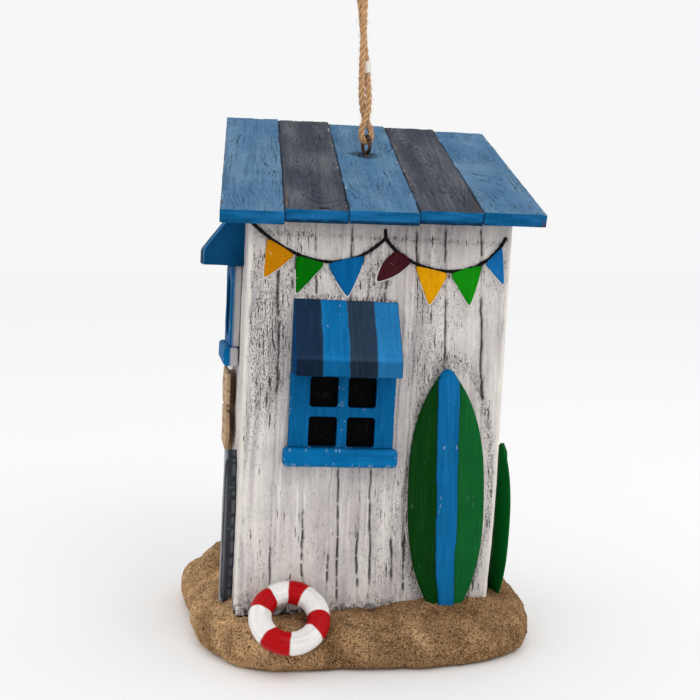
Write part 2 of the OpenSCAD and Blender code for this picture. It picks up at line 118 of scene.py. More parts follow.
def eased(points, step):
    """A smooth line through the points, with its own points a step apart."""
    p = np.vstack([2 * points[0] - points[1], points, 2 * points[-1] - points[-2]])
    t = np.linspace(0, 1, 24, endpoint=False)[:, None]
    runs = [0.5 * (2 * p[i] + (p[i + 1] - p[i - 1]) * t
                   + (2 * p[i - 1] - 5 * p[i] + 4 * p[i + 1] - p[i + 2]) * t ** 2
                   + (3 * p[i] - p[i - 1] - 3 * p[i + 1] + p[i + 2]) * t ** 3)
            for i in range(1, len(p) - 2)]
    line = np.vstack(runs + [points[-1:]])
    along = np.concatenate([[0], np.cumsum(np.linalg.norm(np.diff(line, axis=0), axis=1))])
    at = np.linspace(0, along[-1], int(along[-1] / step) + 1)
    return np.stack([np.interp(at, along, line[:, k]) for k in range(3)], 1)


def open_line(name, points):
    """A bare curve through points in millimetres, for a tree to dress."""
    data = bpy.data.curves.new(name, "CURVE")
    data.dimensions = "3D"
    spline = data.splines.new("POLY")
    spline.points.add(len(points) - 1)
    for spot, p in zip(spline.points, points):
        spot.co = (*(np.array(p) * mm), 1)
    made = bpy.data.objects.new(name, data)
    scene.collection.objects.link(made)
    return made


def new_tree(name, **sizes):
    """An empty geometry tree with one named input for each size."""
    tree = bpy.data.node_groups.new(name, "GeometryNodeTree")
    tree.interface.new_socket("Geometry", in_out="INPUT", socket_type="NodeSocketGeometry")
    tree.interface.new_socket("Geometry", in_out="OUTPUT", socket_type="NodeSocketGeometry")
    for label, value in sizes.items():
        kind = "NodeSocketInt" if isinstance(value, int) else "NodeSocketFloat"
        tree.interface.new_socket(label, in_out="INPUT", socket_type=kind).default_value = value
    return tree, tree.nodes.new("NodeGroupInput"), tree.nodes.new("NodeGroupOutput")


def add(tree, kind, settings=None, **fed):
    """A node with its settings, each of its inputs fed by a socket or a plain value."""
    made = tree.nodes.new(kind)
    for key, value in (settings or {}).items():
        setattr(made, key, value)
    for key, value in fed.items():
        slot = made.inputs[int(key[1:])] if key[1:].isdigit() else made.inputs[key.replace("_", " ")]
        if isinstance(value, bpy.types.NodeSocket):
            tree.links.new(value, slot)
        else:
            slot.default_value = value
    return made


def math_of(tree, how, a, b=0.0):
    """The result of one sum, each of its sides a socket or a plain number."""
    return add(tree, "ShaderNodeMath", {"operation": how}, i0=a, i1=b).outputs[0]


def dressed(source, tree, name, **sizes):
    """Runs a tree on an object and keeps the result as a plain mesh piece."""
    modifier = source.modifiers.new("tree", "NODES")
    modifier.node_group = tree
    for item in tree.interface.items_tree:
        if item.in_out == "INPUT" and item.name in sizes:
            modifier[item.identifier] = sizes[item.name]
    seen = source.evaluated_get(bpy.context.evaluated_depsgraph_get())
    mesh = bpy.data.meshes.new_from_object(seen)
    mesh.name = name
    source.modifiers.remove(modifier)
    bpy.data.objects.remove(source)
    made = bpy.data.objects.new(name, mesh)
    scene.collection.objects.link(made)
    return made


def new_finish(name, roughness, gloss):
    """A material, its node tree and its shader."""
    material = bpy.data.materials.new(name)
    material.use_nodes = True
    tree = material.node_tree
    shader = tree.nodes["Principled BSDF"]
    shader.inputs["Roughness"].default_value = roughness
    shader.inputs["Specular IOR Level"].default_value = gloss
    return material, tree, shader


def srgb(r, g, b):
    """A paint colour from its screen values, 0 to 255, as the shader wants it."""
    c = np.array([r, g, b]) / 255
    return np.where(c <= 0.04045, c / 12.92, ((c + 0.055) / 1.055) ** 2.4)


def ramped(tree, shader, noise, tones, bump_amount=0.0, bump_depth=0.0002):
    """Colours a finish by a noise, through (noise level, colour) pairs, and roughens it by the same."""
    shade = add(tree, "ShaderNodeValToRGB", Fac=noise.outputs["Fac"])
    stops = shade.color_ramp.elements
    for stop, (level, tone) in zip(stops, (tones[0], tones[-1])):
        stop.position, stop.color = level, (*srgb(*tone), 1)
    for level, tone in tones[1:-1]:
        stops.new(level).color = (*srgb(*tone), 1)
    tree.links.new(shade.outputs["Color"], shader.inputs["Base Color"])
    if bump_amount:
        relief = add(tree, "ShaderNodeBump", Height=noise.outputs["Fac"], Strength=bump_amount,
                     Distance=bump_depth)
        tree.links.new(relief.outputs[0], shader.inputs["Normal"])


jute, tree, shader = new_finish("jute_fibre", 0.9, 0.15)
run = add(tree, "ShaderNodeAttribute", {"attribute_name": "run"}).outputs["Fac"]
turn = add(tree, "ShaderNodeAttribute", {"attribute_name": "turn"}).outputs["Fac"]
strand = add(tree, "ShaderNodeCombineXYZ", X=math_of(tree, "MULTIPLY", turn, 16.0),
             Y=math_of(tree, "MULTIPLY", run, 260.0), Z=0.0)
fibre = add(tree, "ShaderNodeTexNoise", Vector=strand.outputs[0], Scale=1.0, Detail=5.0, Roughness=0.7)
ramped(tree, shader, fibre, [(0.30, (132, 92, 60)), (0.5, (206, 162, 118)), (0.72, (244, 206, 164))],
       bump_amount=0.6, bump_depth=0.0003)

strands, given, done = new_tree("twisted_strands", Plies=3, Ply_Radius=0.00074,
                                Ply_Offset=0.00084, Lay=0.0105, Hairs=1500.0, Hair_Length=0.0024,
                                Seed=4)
even = add(strands, "GeometryNodeResampleCurve", {"mode": "LENGTH"},
           Curve=given.outputs["Geometry"], Length=0.0005)
plies = add(strands, "GeometryNodeDuplicateElements", {"domain": "SPLINE"},
            Geometry=even.outputs[0], Amount=given.outputs["Plies"])
far = add(strands, "GeometryNodeSplineParameter").outputs["Length"]
turns = math_of(strands, "ADD", math_of(strands, "DIVIDE", far, given.outputs["Lay"]),
               math_of(strands, "DIVIDE", plies.outputs["Duplicate Index"], given.outputs["Plies"]))
angle = math_of(strands, "MULTIPLY", turns, 2 * math.pi)
normal = add(strands, "GeometryNodeInputNormal").outputs[0]
tangent = add(strands, "GeometryNodeInputTangent").outputs[0]
side = add(strands, "ShaderNodeVectorMath", {"operation": "CROSS_PRODUCT"}, i0=tangent, i1=normal)
out_a = add(strands, "ShaderNodeVectorMath", {"operation": "SCALE"}, i0=normal,
            Scale=math_of(strands, "COSINE", angle))
out_b = add(strands, "ShaderNodeVectorMath", {"operation": "SCALE"}, i0=side.outputs[0],
            Scale=math_of(strands, "SINE", angle))
outward = add(strands, "ShaderNodeVectorMath", {"operation": "ADD"}, i0=out_a.outputs[0],
              i1=out_b.outputs[0])
loose = add(strands, "ShaderNodeTexNoise", {"noise_dimensions": "1D"}, W=far, Scale=420.0)
reach = math_of(strands, "MULTIPLY", given.outputs["Ply_Offset"],
               math_of(strands, "ADD", math_of(strands, "MULTIPLY", loose.outputs["Fac"], 0.5), 0.75))
shift = add(strands, "ShaderNodeVectorMath", {"operation": "SCALE"}, i0=outward.outputs[0], Scale=reach)
laid = add(strands, "GeometryNodeSetPosition", Geometry=plies.outputs["Geometry"],
           Offset=shift.outputs[0])
noted = add(strands, "GeometryNodeStoreNamedAttribute", {"domain": "POINT"},
            Geometry=laid.outputs[0], Name="run", Value=far)
ring = add(strands, "GeometryNodeCurvePrimitiveCircle", Resolution=8, Radius=given.outputs["Ply_Radius"])
around = add(strands, "GeometryNodeSplineParameter").outputs["Factor"]
ring_noted = add(strands, "GeometryNodeStoreNamedAttribute", {"domain": "POINT"},
                 Geometry=ring.outputs[0], Name="turn", Value=around)
tubes = add(strands, "GeometryNodeCurveToMesh", Curve=noted.outputs[0],
            Profile_Curve=ring_noted.outputs[0], Fill_Caps=True)
roots = add(strands, "GeometryNodeDistributePointsOnFaces", Mesh=tubes.outputs[0],
            Density=math_of(strands, "MULTIPLY", given.outputs["Hairs"], 600.0),
            Seed=given.outputs["Seed"])
hair = add(strands, "GeometryNodeMeshCone", Vertices=3, Radius_Top=0.00002, Radius_Bottom=0.00007,
           Depth=given.outputs["Hair_Length"])
tilt = add(strands, "FunctionNodeRandomValue", {"data_type": "FLOAT_VECTOR"},
           i0=(0.9, 0.0, 0.0), i1=(1.45, 0.0, 6.283), Seed=given.outputs["Seed"])
leaning = add(strands, "FunctionNodeRotateRotation", {"rotation_space": "LOCAL"},
              Rotation=roots.outputs["Rotation"], Rotate_By=tilt.outputs[0])
grown = add(strands, "FunctionNodeRandomValue", {"data_type": "FLOAT"}, i2=0.35, i3=1.0,
            Seed=given.outputs["Seed"])
hairs = add(strands, "GeometryNodeInstanceOnPoints", Points=roots.outputs["Points"],
            Instance=hair.outputs["Mesh"], Rotation=leaning.outputs[0], Scale=grown.outputs[1])
real = add(strands, "GeometryNodeRealizeInstances", Geometry=hairs.outputs[0])
both = add(strands, "GeometryNodeJoinGeometry")
strands.links.new(real.outputs[0], both.inputs[0])
strands.links.new(tubes.outputs[0], both.inputs[0])
finished = add(strands, "GeometryNodeSetMaterial", Geometry=both.outputs[0], Material=jute)
strands.links.new(finished.outputs[0], done.inputs[0])

rope_line = eased(np.vstack([rope_place(leg), rope_place(other_leg[-2::-1])]), 0.5)
rope = dressed(open_line("rope_line", rope_line), strands, "jute_rope")
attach(rope, "hanging_loop")
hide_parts("hanging_rope")

# The sleeve: a short white plastic tube pinched on the leg, a little crushed at its waist.

white_plastic, tree, shader = new_finish("white_plastic", 0.45, 0.4)
where = add(tree, "ShaderNodeTexCoord").outputs["Object"]
grime = add(tree, "ShaderNodeTexNoise", Vector=where, Scale=900.0, Detail=3.0)
ramped(tree, shader, grime, [(0.3, (214, 208, 198)), (0.6, (240, 238, 233))])


def swept(line, radii, sides, squash=(1.0, 1.0), closed=False):
    """A closed skin of rings round a line, all in millimetres, as points and faces."""
    line = np.array(line, float)
    ahead = np.roll(line, -1, 0) - np.roll(line, 1, 0) if closed else np.gradient(line, axis=0)
    ahead /= np.linalg.norm(ahead, axis=1)[:, None]
    a = np.cross(ahead[0], [0.3, 1, 0.2])
    rings = []
    for p, t, r in zip(line, ahead, np.broadcast_to(radii, len(line))):
        a = a - t * (a @ t)
        a /= np.linalg.norm(a)
        b = np.cross(t, a)
        w = np.arange(sides)[:, None] * 2 * math.pi / sides
        rings.append(p + r * squash[0] * np.cos(w) * a + r * squash[1] * np.sin(w) * b)
    n, m = sides, len(line)
    faces = [(j * n + i, j * n + (i + 1) % n, (j + 1) % m * n + (i + 1) % n, (j + 1) % m * n + i)
             for j in range(m if closed else m - 1) for i in range(n)]
    if not closed:
        faces += [tuple(range(n))[::-1], tuple((m - 1) * n + i for i in range(n))]
    return np.vstack(rings), faces


def piece(name, points, faces, material, body="birdhouse", stands_for=(), smooth=True,
          tints=None, ages=None):
    """A mesh piece from points in millimetres, with a paint colour and a wear for each point."""
    mesh = bpy.data.meshes.new(name)
    mesh.from_pydata((np.array(points) * mm).tolist(), [], [tuple(map(int, f)) for f in faces])
    for m in material if isinstance(material, list) else [material]:
        mesh.materials.append(m)
    mesh.polygons.foreach_set("use_smooth", [smooth] * len(mesh.polygons))
    if tints is not None:
        paint = mesh.color_attributes.new("paint", "FLOAT_COLOR", "POINT")
        full = np.ones((len(mesh.vertices), 4), np.float32)
        full[:, :3] = tints
        paint.data.foreach_set("color", full.ravel())
    if ages is not None:
        mesh.attributes.new("age", "FLOAT", "POINT").data.foreach_set("value", np.float32(ages))
    mesh.update()
    made = bpy.data.objects.new(name, mesh)
    scene.collection.objects.link(made)
    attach(made, body)
    if stands_for:
        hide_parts(*stands_for)
    return made


sleeve_at, sleeve_l = 11, 5.4  # the leg's point that the sleeve is centred on, and its length
sleeve_mid = rope_place(other_leg[sleeve_at:sleeve_at + 1])[0]
sleeve_way = rope_place(other_leg[sleeve_at + 1:sleeve_at + 2])[0] - rope_place(
    other_leg[sleeve_at - 1:sleeve_at])[0]
sleeve_way /= np.linalg.norm(sleeve_way)
along = np.array([-1, -0.97, -0.9, -0.7, -0.62, -0.5, -0.2, 0.2, 0.5, 0.62, 0.7, 0.9, 0.97, 1])
bulge = np.array([1.72, 1.86, 1.92, 1.9, 1.8, 1.9, 1.86, 1.86, 1.9, 1.8, 1.9, 1.92, 1.86, 1.72])
points, faces = swept(sleeve_mid + along[:, None] * sleeve_l / 2 * sleeve_way, bulge, 28, (1.0, 0.94))
sleeve = piece("white_sleeve", points, faces, white_plastic, "hanging_loop", ["rope_sleeve"])

# ---- sand base ----
# A slab of cast resin made to look like heaped sand, with lobes round its edge, a flat underside
# and a round bore for the stopper. It is painted tan and rubbed with a brown wash.

hut_w, hut_d = 110, 107
base_w, base_d = 155, 157
sand_h, footing_z = 21, 17


def drift(u, v, cell_u, cell_v, seed):
    """A smooth random field from -1 to 1 over u and v, with cells of the given size."""
    table = np.random.default_rng(seed).uniform(-1, 1, (128, 128))
    a, b = np.asarray(u, float) / cell_u, np.asarray(v, float) / cell_v
    i, j = np.floor(a).astype(int), np.floor(b).astype(int)
    s, t = a - i, b - j
    s, t = s * s * (3 - 2 * s), t * t * (3 - 2 * t)
    low = table[i % 128, j % 128] * (1 - s) + table[(i + 1) % 128, j % 128] * s
    high = table[i % 128, (j + 1) % 128] * (1 - s) + table[(i + 1) % 128, (j + 1) % 128] * s
    return low * (1 - t) + high * t


def mixed(a, b, share):
    """Paint b over paint a, by a share from 0 to 1 at each point."""
    share = np.clip(share, 0, 1)[..., None]
    return a * (1 - share) + b * share


def step_up(value, low, high):
    """0 below low, 1 above high, and a smooth rise between them."""
    t = np.clip((value - low) / (high - low), 0, 1)
    return t * t * (3 - 2 * t)


hut_shift, hut_lean = 4.2, math.radians(2.85)


def leaned(p):
    """Points drawn on the upright hut, in millimetres, moved to where the leaning hut stands."""
    p = np.asarray(p, float)
    c, s = math.cos(hut_lean), math.sin(hut_lean)
    up = p[..., 2] - footing_z
    return np.stack([p[..., 0] * c + up * s - hut_shift, p[..., 1],
                     up * c - p[..., 0] * s + footing_z], -1)


def outline_r(a):
    """Distance from the base's middle to its lobed edge, for each angle round it."""
    lobes = 1 + 0.030 * np.cos(2 * a + math.radians(100)) + 0.014 * np.sin(
        5 * a + math.radians(40)) + 0.009 * np.sin(9 * a + math.radians(120))
    return ((np.abs(np.cos(a)) / (base_w / 2)) ** 3.2
            + (np.abs(np.sin(a)) / (base_d / 2)) ** 3.2) ** (-1 / 3.2) * lobes


sides = 620
base_mid = np.array([-1, 1.8])
footprint_inset = 1.5  # the sand runs this far in under the walls
brink = 5.6  # place along the profile where the edge turns into the top
heap_steps = 52
a = np.arange(sides) * 2 * math.pi / sides
edge = outline_r(a) + 0.9 * drift(a * 80, 0, 9, 1, 5) + 0.5 * drift(a * 80, 0, 4, 1, 6)
ways = np.stack([np.cos(a), np.sin(a)], 1)
wall_r = np.minimum((hut_w / 2 - footprint_inset) / np.maximum(np.abs(ways[:, 0]), 1e-6),
                    (hut_d / 2 - footprint_inset) / np.maximum(np.abs(ways[:, 1]), 1e-6))
# The edge from the underside up, as [height, distance in from the widest place].
profile = np.array([[0, 5], [0.6, 3.6], [2, 1.8], [6, 0], [11, 0.6], [15, 3.6], [18, 9], [20, 16],
                    [21, 30]])
climb = np.concatenate([np.linspace(0, 4, 14, endpoint=False), np.linspace(4, 8, 40)])
rows = []
for k in climb[climb < brink]:
    z = np.interp(k, range(9), profile[:, 0])
    r = edge - np.interp(k, range(9), profile[:, 1])
    rows.append(np.column_stack([base_mid + r[:, None] * ways, np.full(sides, z)]))
shoulder_r = edge - np.interp(brink, range(9), profile[:, 1])
shoulder = np.column_stack([base_mid + shoulder_r[:, None] * ways, np.full(sides, 0)])
to_wall = np.column_stack([wall_r[:, None] * ways - [hut_shift, 0], np.full(sides, 0)])

# How high the sand stands against the hut: lowest along the window wall, heaped up at the back.
mean_level = 20.6
level = mean_level + 1.3 * drift(to_wall[:, 0], to_wall[:, 1], 17, 17, 8) + 0.7 * drift(
    to_wall[:, 0], to_wall[:, 1], 6, 6, 9)
by_window = np.interp(to_wall[:, 0], [-59, -44, -22, 6, 16, 22, 36, 52],
                      [18.6, 19.3, 20.6, 21.0, 22.2, 23.6, 23.0, 22.0])
level += 3.0 * step_up(to_wall[:, 1], -45, 10) * step_up(np.abs(to_wall[:, 0] + hut_shift), 30, 50)
level = np.where(to_wall[:, 1] < -45, by_window + 0.15 * (level - mean_level), level)
for t in np.linspace(0, 1, heap_steps) ** 1.1:
    p = shoulder * (1 - t) + to_wall * t
    inset = np.maximum(edge - np.hypot(p[:, 0] - base_mid[0], p[:, 1] - base_mid[1]), 0)
    rise = 3.5 * step_up(p[:, 1], -10, 40) * step_up(-np.abs(t - 0.45), -0.45, 0)
    p[:, 2] = np.interp(inset, profile[3:, 1], profile[3:, 0]) * (1 - t ** 2) + level * t ** 2 + rise
    rows.append(p)
skin = np.array(rows)
x, y, z = skin[..., 0], skin[..., 1], skin[..., 2]
u, v = x + 0.6 * z, y - 0.7 * z
lumps = 0.9 * drift(u, v, 13, 13, 1) + 0.55 * drift(u, v, 6, 6, 2) + 0.3 * drift(u, v, 2.8, 2.8, 3)
grit = 0.26 * drift(u, v, 1.1, 1.1, 4) + 0.22 * drift(u * 1.3 + z, v - z, 0.62, 0.62, 11)
near_wall = np.linspace(0, 1, len(skin))[:, None] > 0.97
lift = (lumps * np.where(near_wall, 0.2, 1) + grit) * step_up(z, 0.2, 5)
outward = ways[None] * step_up(21 - z, 0, 12)[..., None]
skin = skin + np.concatenate([outward * lift[..., None] * 0.8,
                              (lift * step_up(z, 8, 18))[..., None]], -1)
bore_r, recess_r, recess_top = 18.05, 21, 3.8
floor_z = footing_z + 0.2
under = [to_wall + [0, 0, floor_z]]
for r, z in ((bore_r, floor_z), (bore_r, recess_top), (recess_r, recess_top), (recess_r, 0)):
    under.append(np.column_stack([r * ways, np.full(sides, z)]))
loops = np.concatenate([skin, np.array(under)])
k = np.arange(len(loops))[:, None] * sides
i = np.arange(sides)[None]
j = (i + 1) % sides
k2 = np.roll(k, -1, 0)
faces = np.stack([k + i, k + j, k2 + j, k2 + i], -1).reshape(-1, 4)

tan, brown, pale_tan = srgb(146, 112, 78), srgb(98, 70, 44), srgb(176, 142, 104)
tone = 0.45 + 0.9 * (lift - lumps * 0.3) + 0.25 * drift(u, v, 22, 22, 13)
# Painted light: the sand is coloured lighter towards the entrance side, as if more light fell there.
tone = tone + 0.75 * step_up(-skin[..., 0], 15, 65)
tone = np.concatenate([tone, np.full((len(under), sides), 0.2)])
entrance_side_painted_light = 1 + 0.42 * step_up(-skin[..., 0], 12, 66)  # painted light: lighter towards the entrance side
entrance_side_painted_light = np.concatenate([entrance_side_painted_light, np.ones((len(under), sides))])[..., None]
washed = mixed(np.broadcast_to(brown, tone.shape + (3,)), tan, tone * 1.5 + 0.35)
tints = entrance_side_painted_light * mixed(washed, pale_tan, tone - 0.5)


def painted(name, roughness, gloss, mottle=0.12, speck=1100.0, streaks=None, bump_depth=0.00015,
            bump_amount=0.35, marks=()):
    """A hand-painted finish: the paint at each point, broken up by brush marks and fine specks.

    Each mark is a spread of dark flecks: (colour, noise scale, stretch, rarest, commonest), where
    the last two are the noise levels that show on fresh and on fully worn paint.
    """
    material, tree, shader = new_finish(name, roughness, gloss)
    paint = add(tree, "ShaderNodeAttribute", {"attribute_name": "paint"}).outputs["Color"]
    where = add(tree, "ShaderNodeTexCoord").outputs["Object"]
    stretch = add(tree, "ShaderNodeMapping", Vector=where, Scale=streaks or (1, 1, 1))
    brush = add(tree, "ShaderNodeTexNoise", Vector=stretch.outputs[0], Scale=speck, Detail=4.0,
                Roughness=0.62)
    cloud = add(tree, "ShaderNodeTexNoise", Vector=where, Scale=speck / 9, Detail=2.0)
    fine = add(tree, "ShaderNodeMapRange", Value=brush.outputs["Fac"], From_Min=0.25, From_Max=0.75,
               To_Min=1 - mottle, To_Max=1 + mottle)
    broad = add(tree, "ShaderNodeMapRange", Value=cloud.outputs["Fac"], From_Min=0.3, From_Max=0.7,
                To_Min=1 - mottle * 0.5, To_Max=1 + mottle * 0.5)
    depth = math_of(tree, "MULTIPLY", fine.outputs[0], broad.outputs[0])
    colour = add(tree, "ShaderNodeVectorMath", {"operation": "SCALE"}, i0=paint, Scale=depth).outputs[0]
    height = brush.outputs["Fac"]
    if marks:
        age = add(tree, "ShaderNodeAttribute", {"attribute_name": "age"}).outputs["Fac"]
    for fleck_tone, scale, shape, rarest, commonest in marks:
        drawn = add(tree, "ShaderNodeMapping", Vector=where, Scale=shape)
        spread = add(tree, "ShaderNodeTexNoise", Vector=drawn.outputs[0], Scale=scale, Detail=3.0,
                     Roughness=0.6)
        level = add(tree, "ShaderNodeMapRange", Value=age, From_Min=0.0, From_Max=1.0,
                    To_Min=rarest, To_Max=commonest)
        over = math_of(tree, "SUBTRACT", spread.outputs["Fac"], level.outputs[0])
        fleck = add(tree, "ShaderNodeMapRange", Value=over, From_Min=0.0, From_Max=0.022, To_Min=0.0,
                    To_Max=0.92)
        blend = add(tree, "ShaderNodeMix", {"data_type": "RGBA"}, i0=fleck.outputs[0], i6=colour,
                    i7=(*fleck_tone, 1))
        colour = blend.outputs[2]
        height = math_of(tree, "SUBTRACT", height, math_of(tree, "MULTIPLY", fleck.outputs[0], 0.7))
    tree.links.new(colour, shader.inputs["Base Color"])
    dull = add(tree, "ShaderNodeMapRange", Value=brush.outputs["Fac"], From_Min=0.3, From_Max=0.7,
               To_Min=roughness + 0.08, To_Max=roughness - 0.08)
    tree.links.new(dull.outputs[0], shader.inputs["Roughness"])
    relief = add(tree, "ShaderNodeBump", Height=height, Strength=bump_amount, Distance=bump_depth)
    tree.links.new(relief.outputs[0], shader.inputs["Normal"])
    return material


sandy = painted("painted_sand", 0.95, 0.03, mottle=0.6, speck=1000.0, bump_depth=0.0006,
                bump_amount=0.85, marks=[(srgb(78, 52, 34), 1250, (1, 1, 1), 0.565, 0.565),
                                         (srgb(206, 174, 132), 1400, (1, 1.1, 0.9), 0.585, 0.585)])
sand_piece = piece("sand_heap", loops.reshape(-1, 3), faces, sandy, stands_for=["sand_base"],
                   tints=tints.reshape(-1, 3))

# Loose grains stand out all over the heap: small broken lumps, scattered thickly.

grains, given, done = new_tree("scattered_grains", Grains=3200.0, Grain_Size=0.0005, Seed=7)
place = add(grains, "ShaderNodeSeparateXYZ", i0=add(grains, "GeometryNodeInputPosition").outputs[0])
high = math_of(grains, "GREATER_THAN", place.outputs["Z"], 0.004)
spots = add(grains, "GeometryNodeDistributePointsOnFaces", Mesh=given.outputs[0],
            Density=math_of(grains, "MULTIPLY", given.outputs["Grains"], 62.0),
            Seed=given.outputs["Seed"])
grains.links.new(high, spots.inputs["Selection"])
lump = add(grains, "GeometryNodeMeshIcoSphere", Radius=given.outputs["Grain_Size"], Subdivisions=1)
size = add(grains, "FunctionNodeRandomValue", {"data_type": "FLOAT_VECTOR"}, i0=(0.4, 0.4, 0.3),
           i1=(1.2, 1.2, 0.9), Seed=given.outputs["Seed"])
many = add(grains, "GeometryNodeInstanceOnPoints", Points=spots.outputs["Points"],
           Instance=lump.outputs["Mesh"], Rotation=spots.outputs["Rotation"], Scale=size.outputs[0])
real = add(grains, "GeometryNodeRealizeInstances", Geometry=many.outputs[0])
finished = add(grains, "GeometryNodeSetMaterial", Geometry=real.outputs[0], Material=sandy)
grains.links.new(finished.outputs[0], done.inputs[0])
ground = sand_piece.copy()
ground.data = sand_piece.data.copy()
ground.parent = None
for key in list(ground.keys()):
    del ground[key]
scene.collection.objects.link(ground)
grit_piece = dressed(ground, grains, "sand_grains")
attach(grit_piece, "birdhouse")

# ---- plank walls ----
# Four cast panels carved as upright planks, brushed with a black wash that stays in the grooves,
# the grain and the knots, then painted over thickly with white. The corners are worn to cream.

wall_t, front_h = 5, 188
roof_t, roof_l = 5.5, 142
roof_pitch, roof_twist, roof_roll, roof_yaw = 20.75, 0.55, -1, -3.8  # twist: one board to the next
roof_mid = np.array([2.8, 0, front_h + hut_d / 2 * math.tan(math.radians(roof_pitch))
                     + roof_t / math.cos(math.radians(roof_pitch))])
board_lefts = [-67, -40.75, -14.5, 14.5, 40.75, 67]


def turned(p, rx, ry, rz):
    """Points turned about X, then Y, then Z, by angles in degrees."""
    p = np.asarray(p, float)
    for axis, angle in enumerate((rx, ry, rz)):
        c, s = math.cos(math.radians(angle)), math.sin(math.radians(angle))
        b, d = [(1, 2), (2, 0), (0, 1)][axis]
        q = p.copy()
        q[..., b], q[..., d] = p[..., b] * c - p[..., d] * s, p[..., b] * s + p[..., d] * c
        p = q
    return p


def as_board(p, i):
    """Points or directions drawn on the flat, turned as roof board i lies."""
    return turned(p, roof_pitch + (3 - i) * roof_twist, roof_roll, roof_yaw)


def on_roof(p, i):
    """Points drawn on board i, with z = 0 on its top face, placed on the upright hut."""
    return roof_mid + as_board(p, i)


def under_roof(x, y):
    """Height of the roof's underside over each point of the upright hut's plan."""
    nowhere, seam_slack = 1e9, 0.6
    best = np.full(np.shape(x), nowhere)
    for i in range(1, 6):
        n = as_board([0, 0, 1], i)
        low = on_roof([0, 0, -roof_t], i)
        z = low[2] - (n[0] * (x - low[0]) + n[1] * (y - low[1])) / n[2]
        from_mid = np.stack([x - roof_mid[0], y - roof_mid[1], z - roof_mid[2]], -1)
        u = turned(from_mid, 0, 0, -roof_yaw)[..., 0]
        left = -nowhere if i == 1 else board_lefts[i - 1] - seam_slack
        right = nowhere if i == 5 else board_lefts[i] + seam_slack
        best = np.where((u > left) & (u < right), np.minimum(best, z), best)
    return best


def lines(low, high, cell, r=0.6):
    """Places across a face, close together at its rounded edges."""
    n = max(2, int(round((high - low - 2 * r) / cell)))
    return np.concatenate([[low, low + 0.35 * r], np.linspace(low + r, high - r, n),
                           [high - 0.35 * r, high]])


def slab(xs, ys, zs):
    """A block with fine squares on its top and its edges, and its underside in one face."""
    nx, ny = len(xs), len(ys)
    gx, gy = np.meshgrid(xs, ys, indexing="ij")
    points = [np.stack([gx, gy, np.full_like(gx, zs[-1])], -1).reshape(-1, 3)]
    index = np.arange(nx * ny).reshape(nx, ny)
    faces = np.stack([index[:-1, :-1], index[1:, :-1], index[1:, 1:], index[:-1, 1:]], -1)
    faces = faces.reshape(-1, 4).tolist()
    rim = np.concatenate([index[:-1, 0], index[-1, :-1], index[:0:-1, -1], index[0, :0:-1]])
    outline = points[0][rim]
    above, count = rim, nx * ny
    for z in zs[-2::-1]:
        points.append(np.column_stack([outline[:, :2], np.full(len(rim), z)]))
        below = count + np.arange(len(rim))
        faces += np.stack([above, below, np.roll(below, -1), np.roll(above, -1)], -1).tolist()
        above, count = below, count + len(rim)
    faces.append(above[::-1].tolist())
    return np.concatenate(points), faces


def softened(p, low, high, r):
    """Rounds the edges of a block by r. Returns the points and the way each one faces."""
    low, high = np.array(low, float), np.array(high, float)
    inner = np.clip(p, low + r, high - r)
    out = p - inner
    far = np.linalg.norm(out, axis=-1, keepdims=True)
    facing = out / np.maximum(far, 1e-9)
    return np.where(far > 1e-9, inner + facing * r, p), facing


white, dark = srgb(217, 211, 206), srgb(46, 41, 43)
lilac, cream = srgb(160, 152, 155), srgb(228, 223, 213)


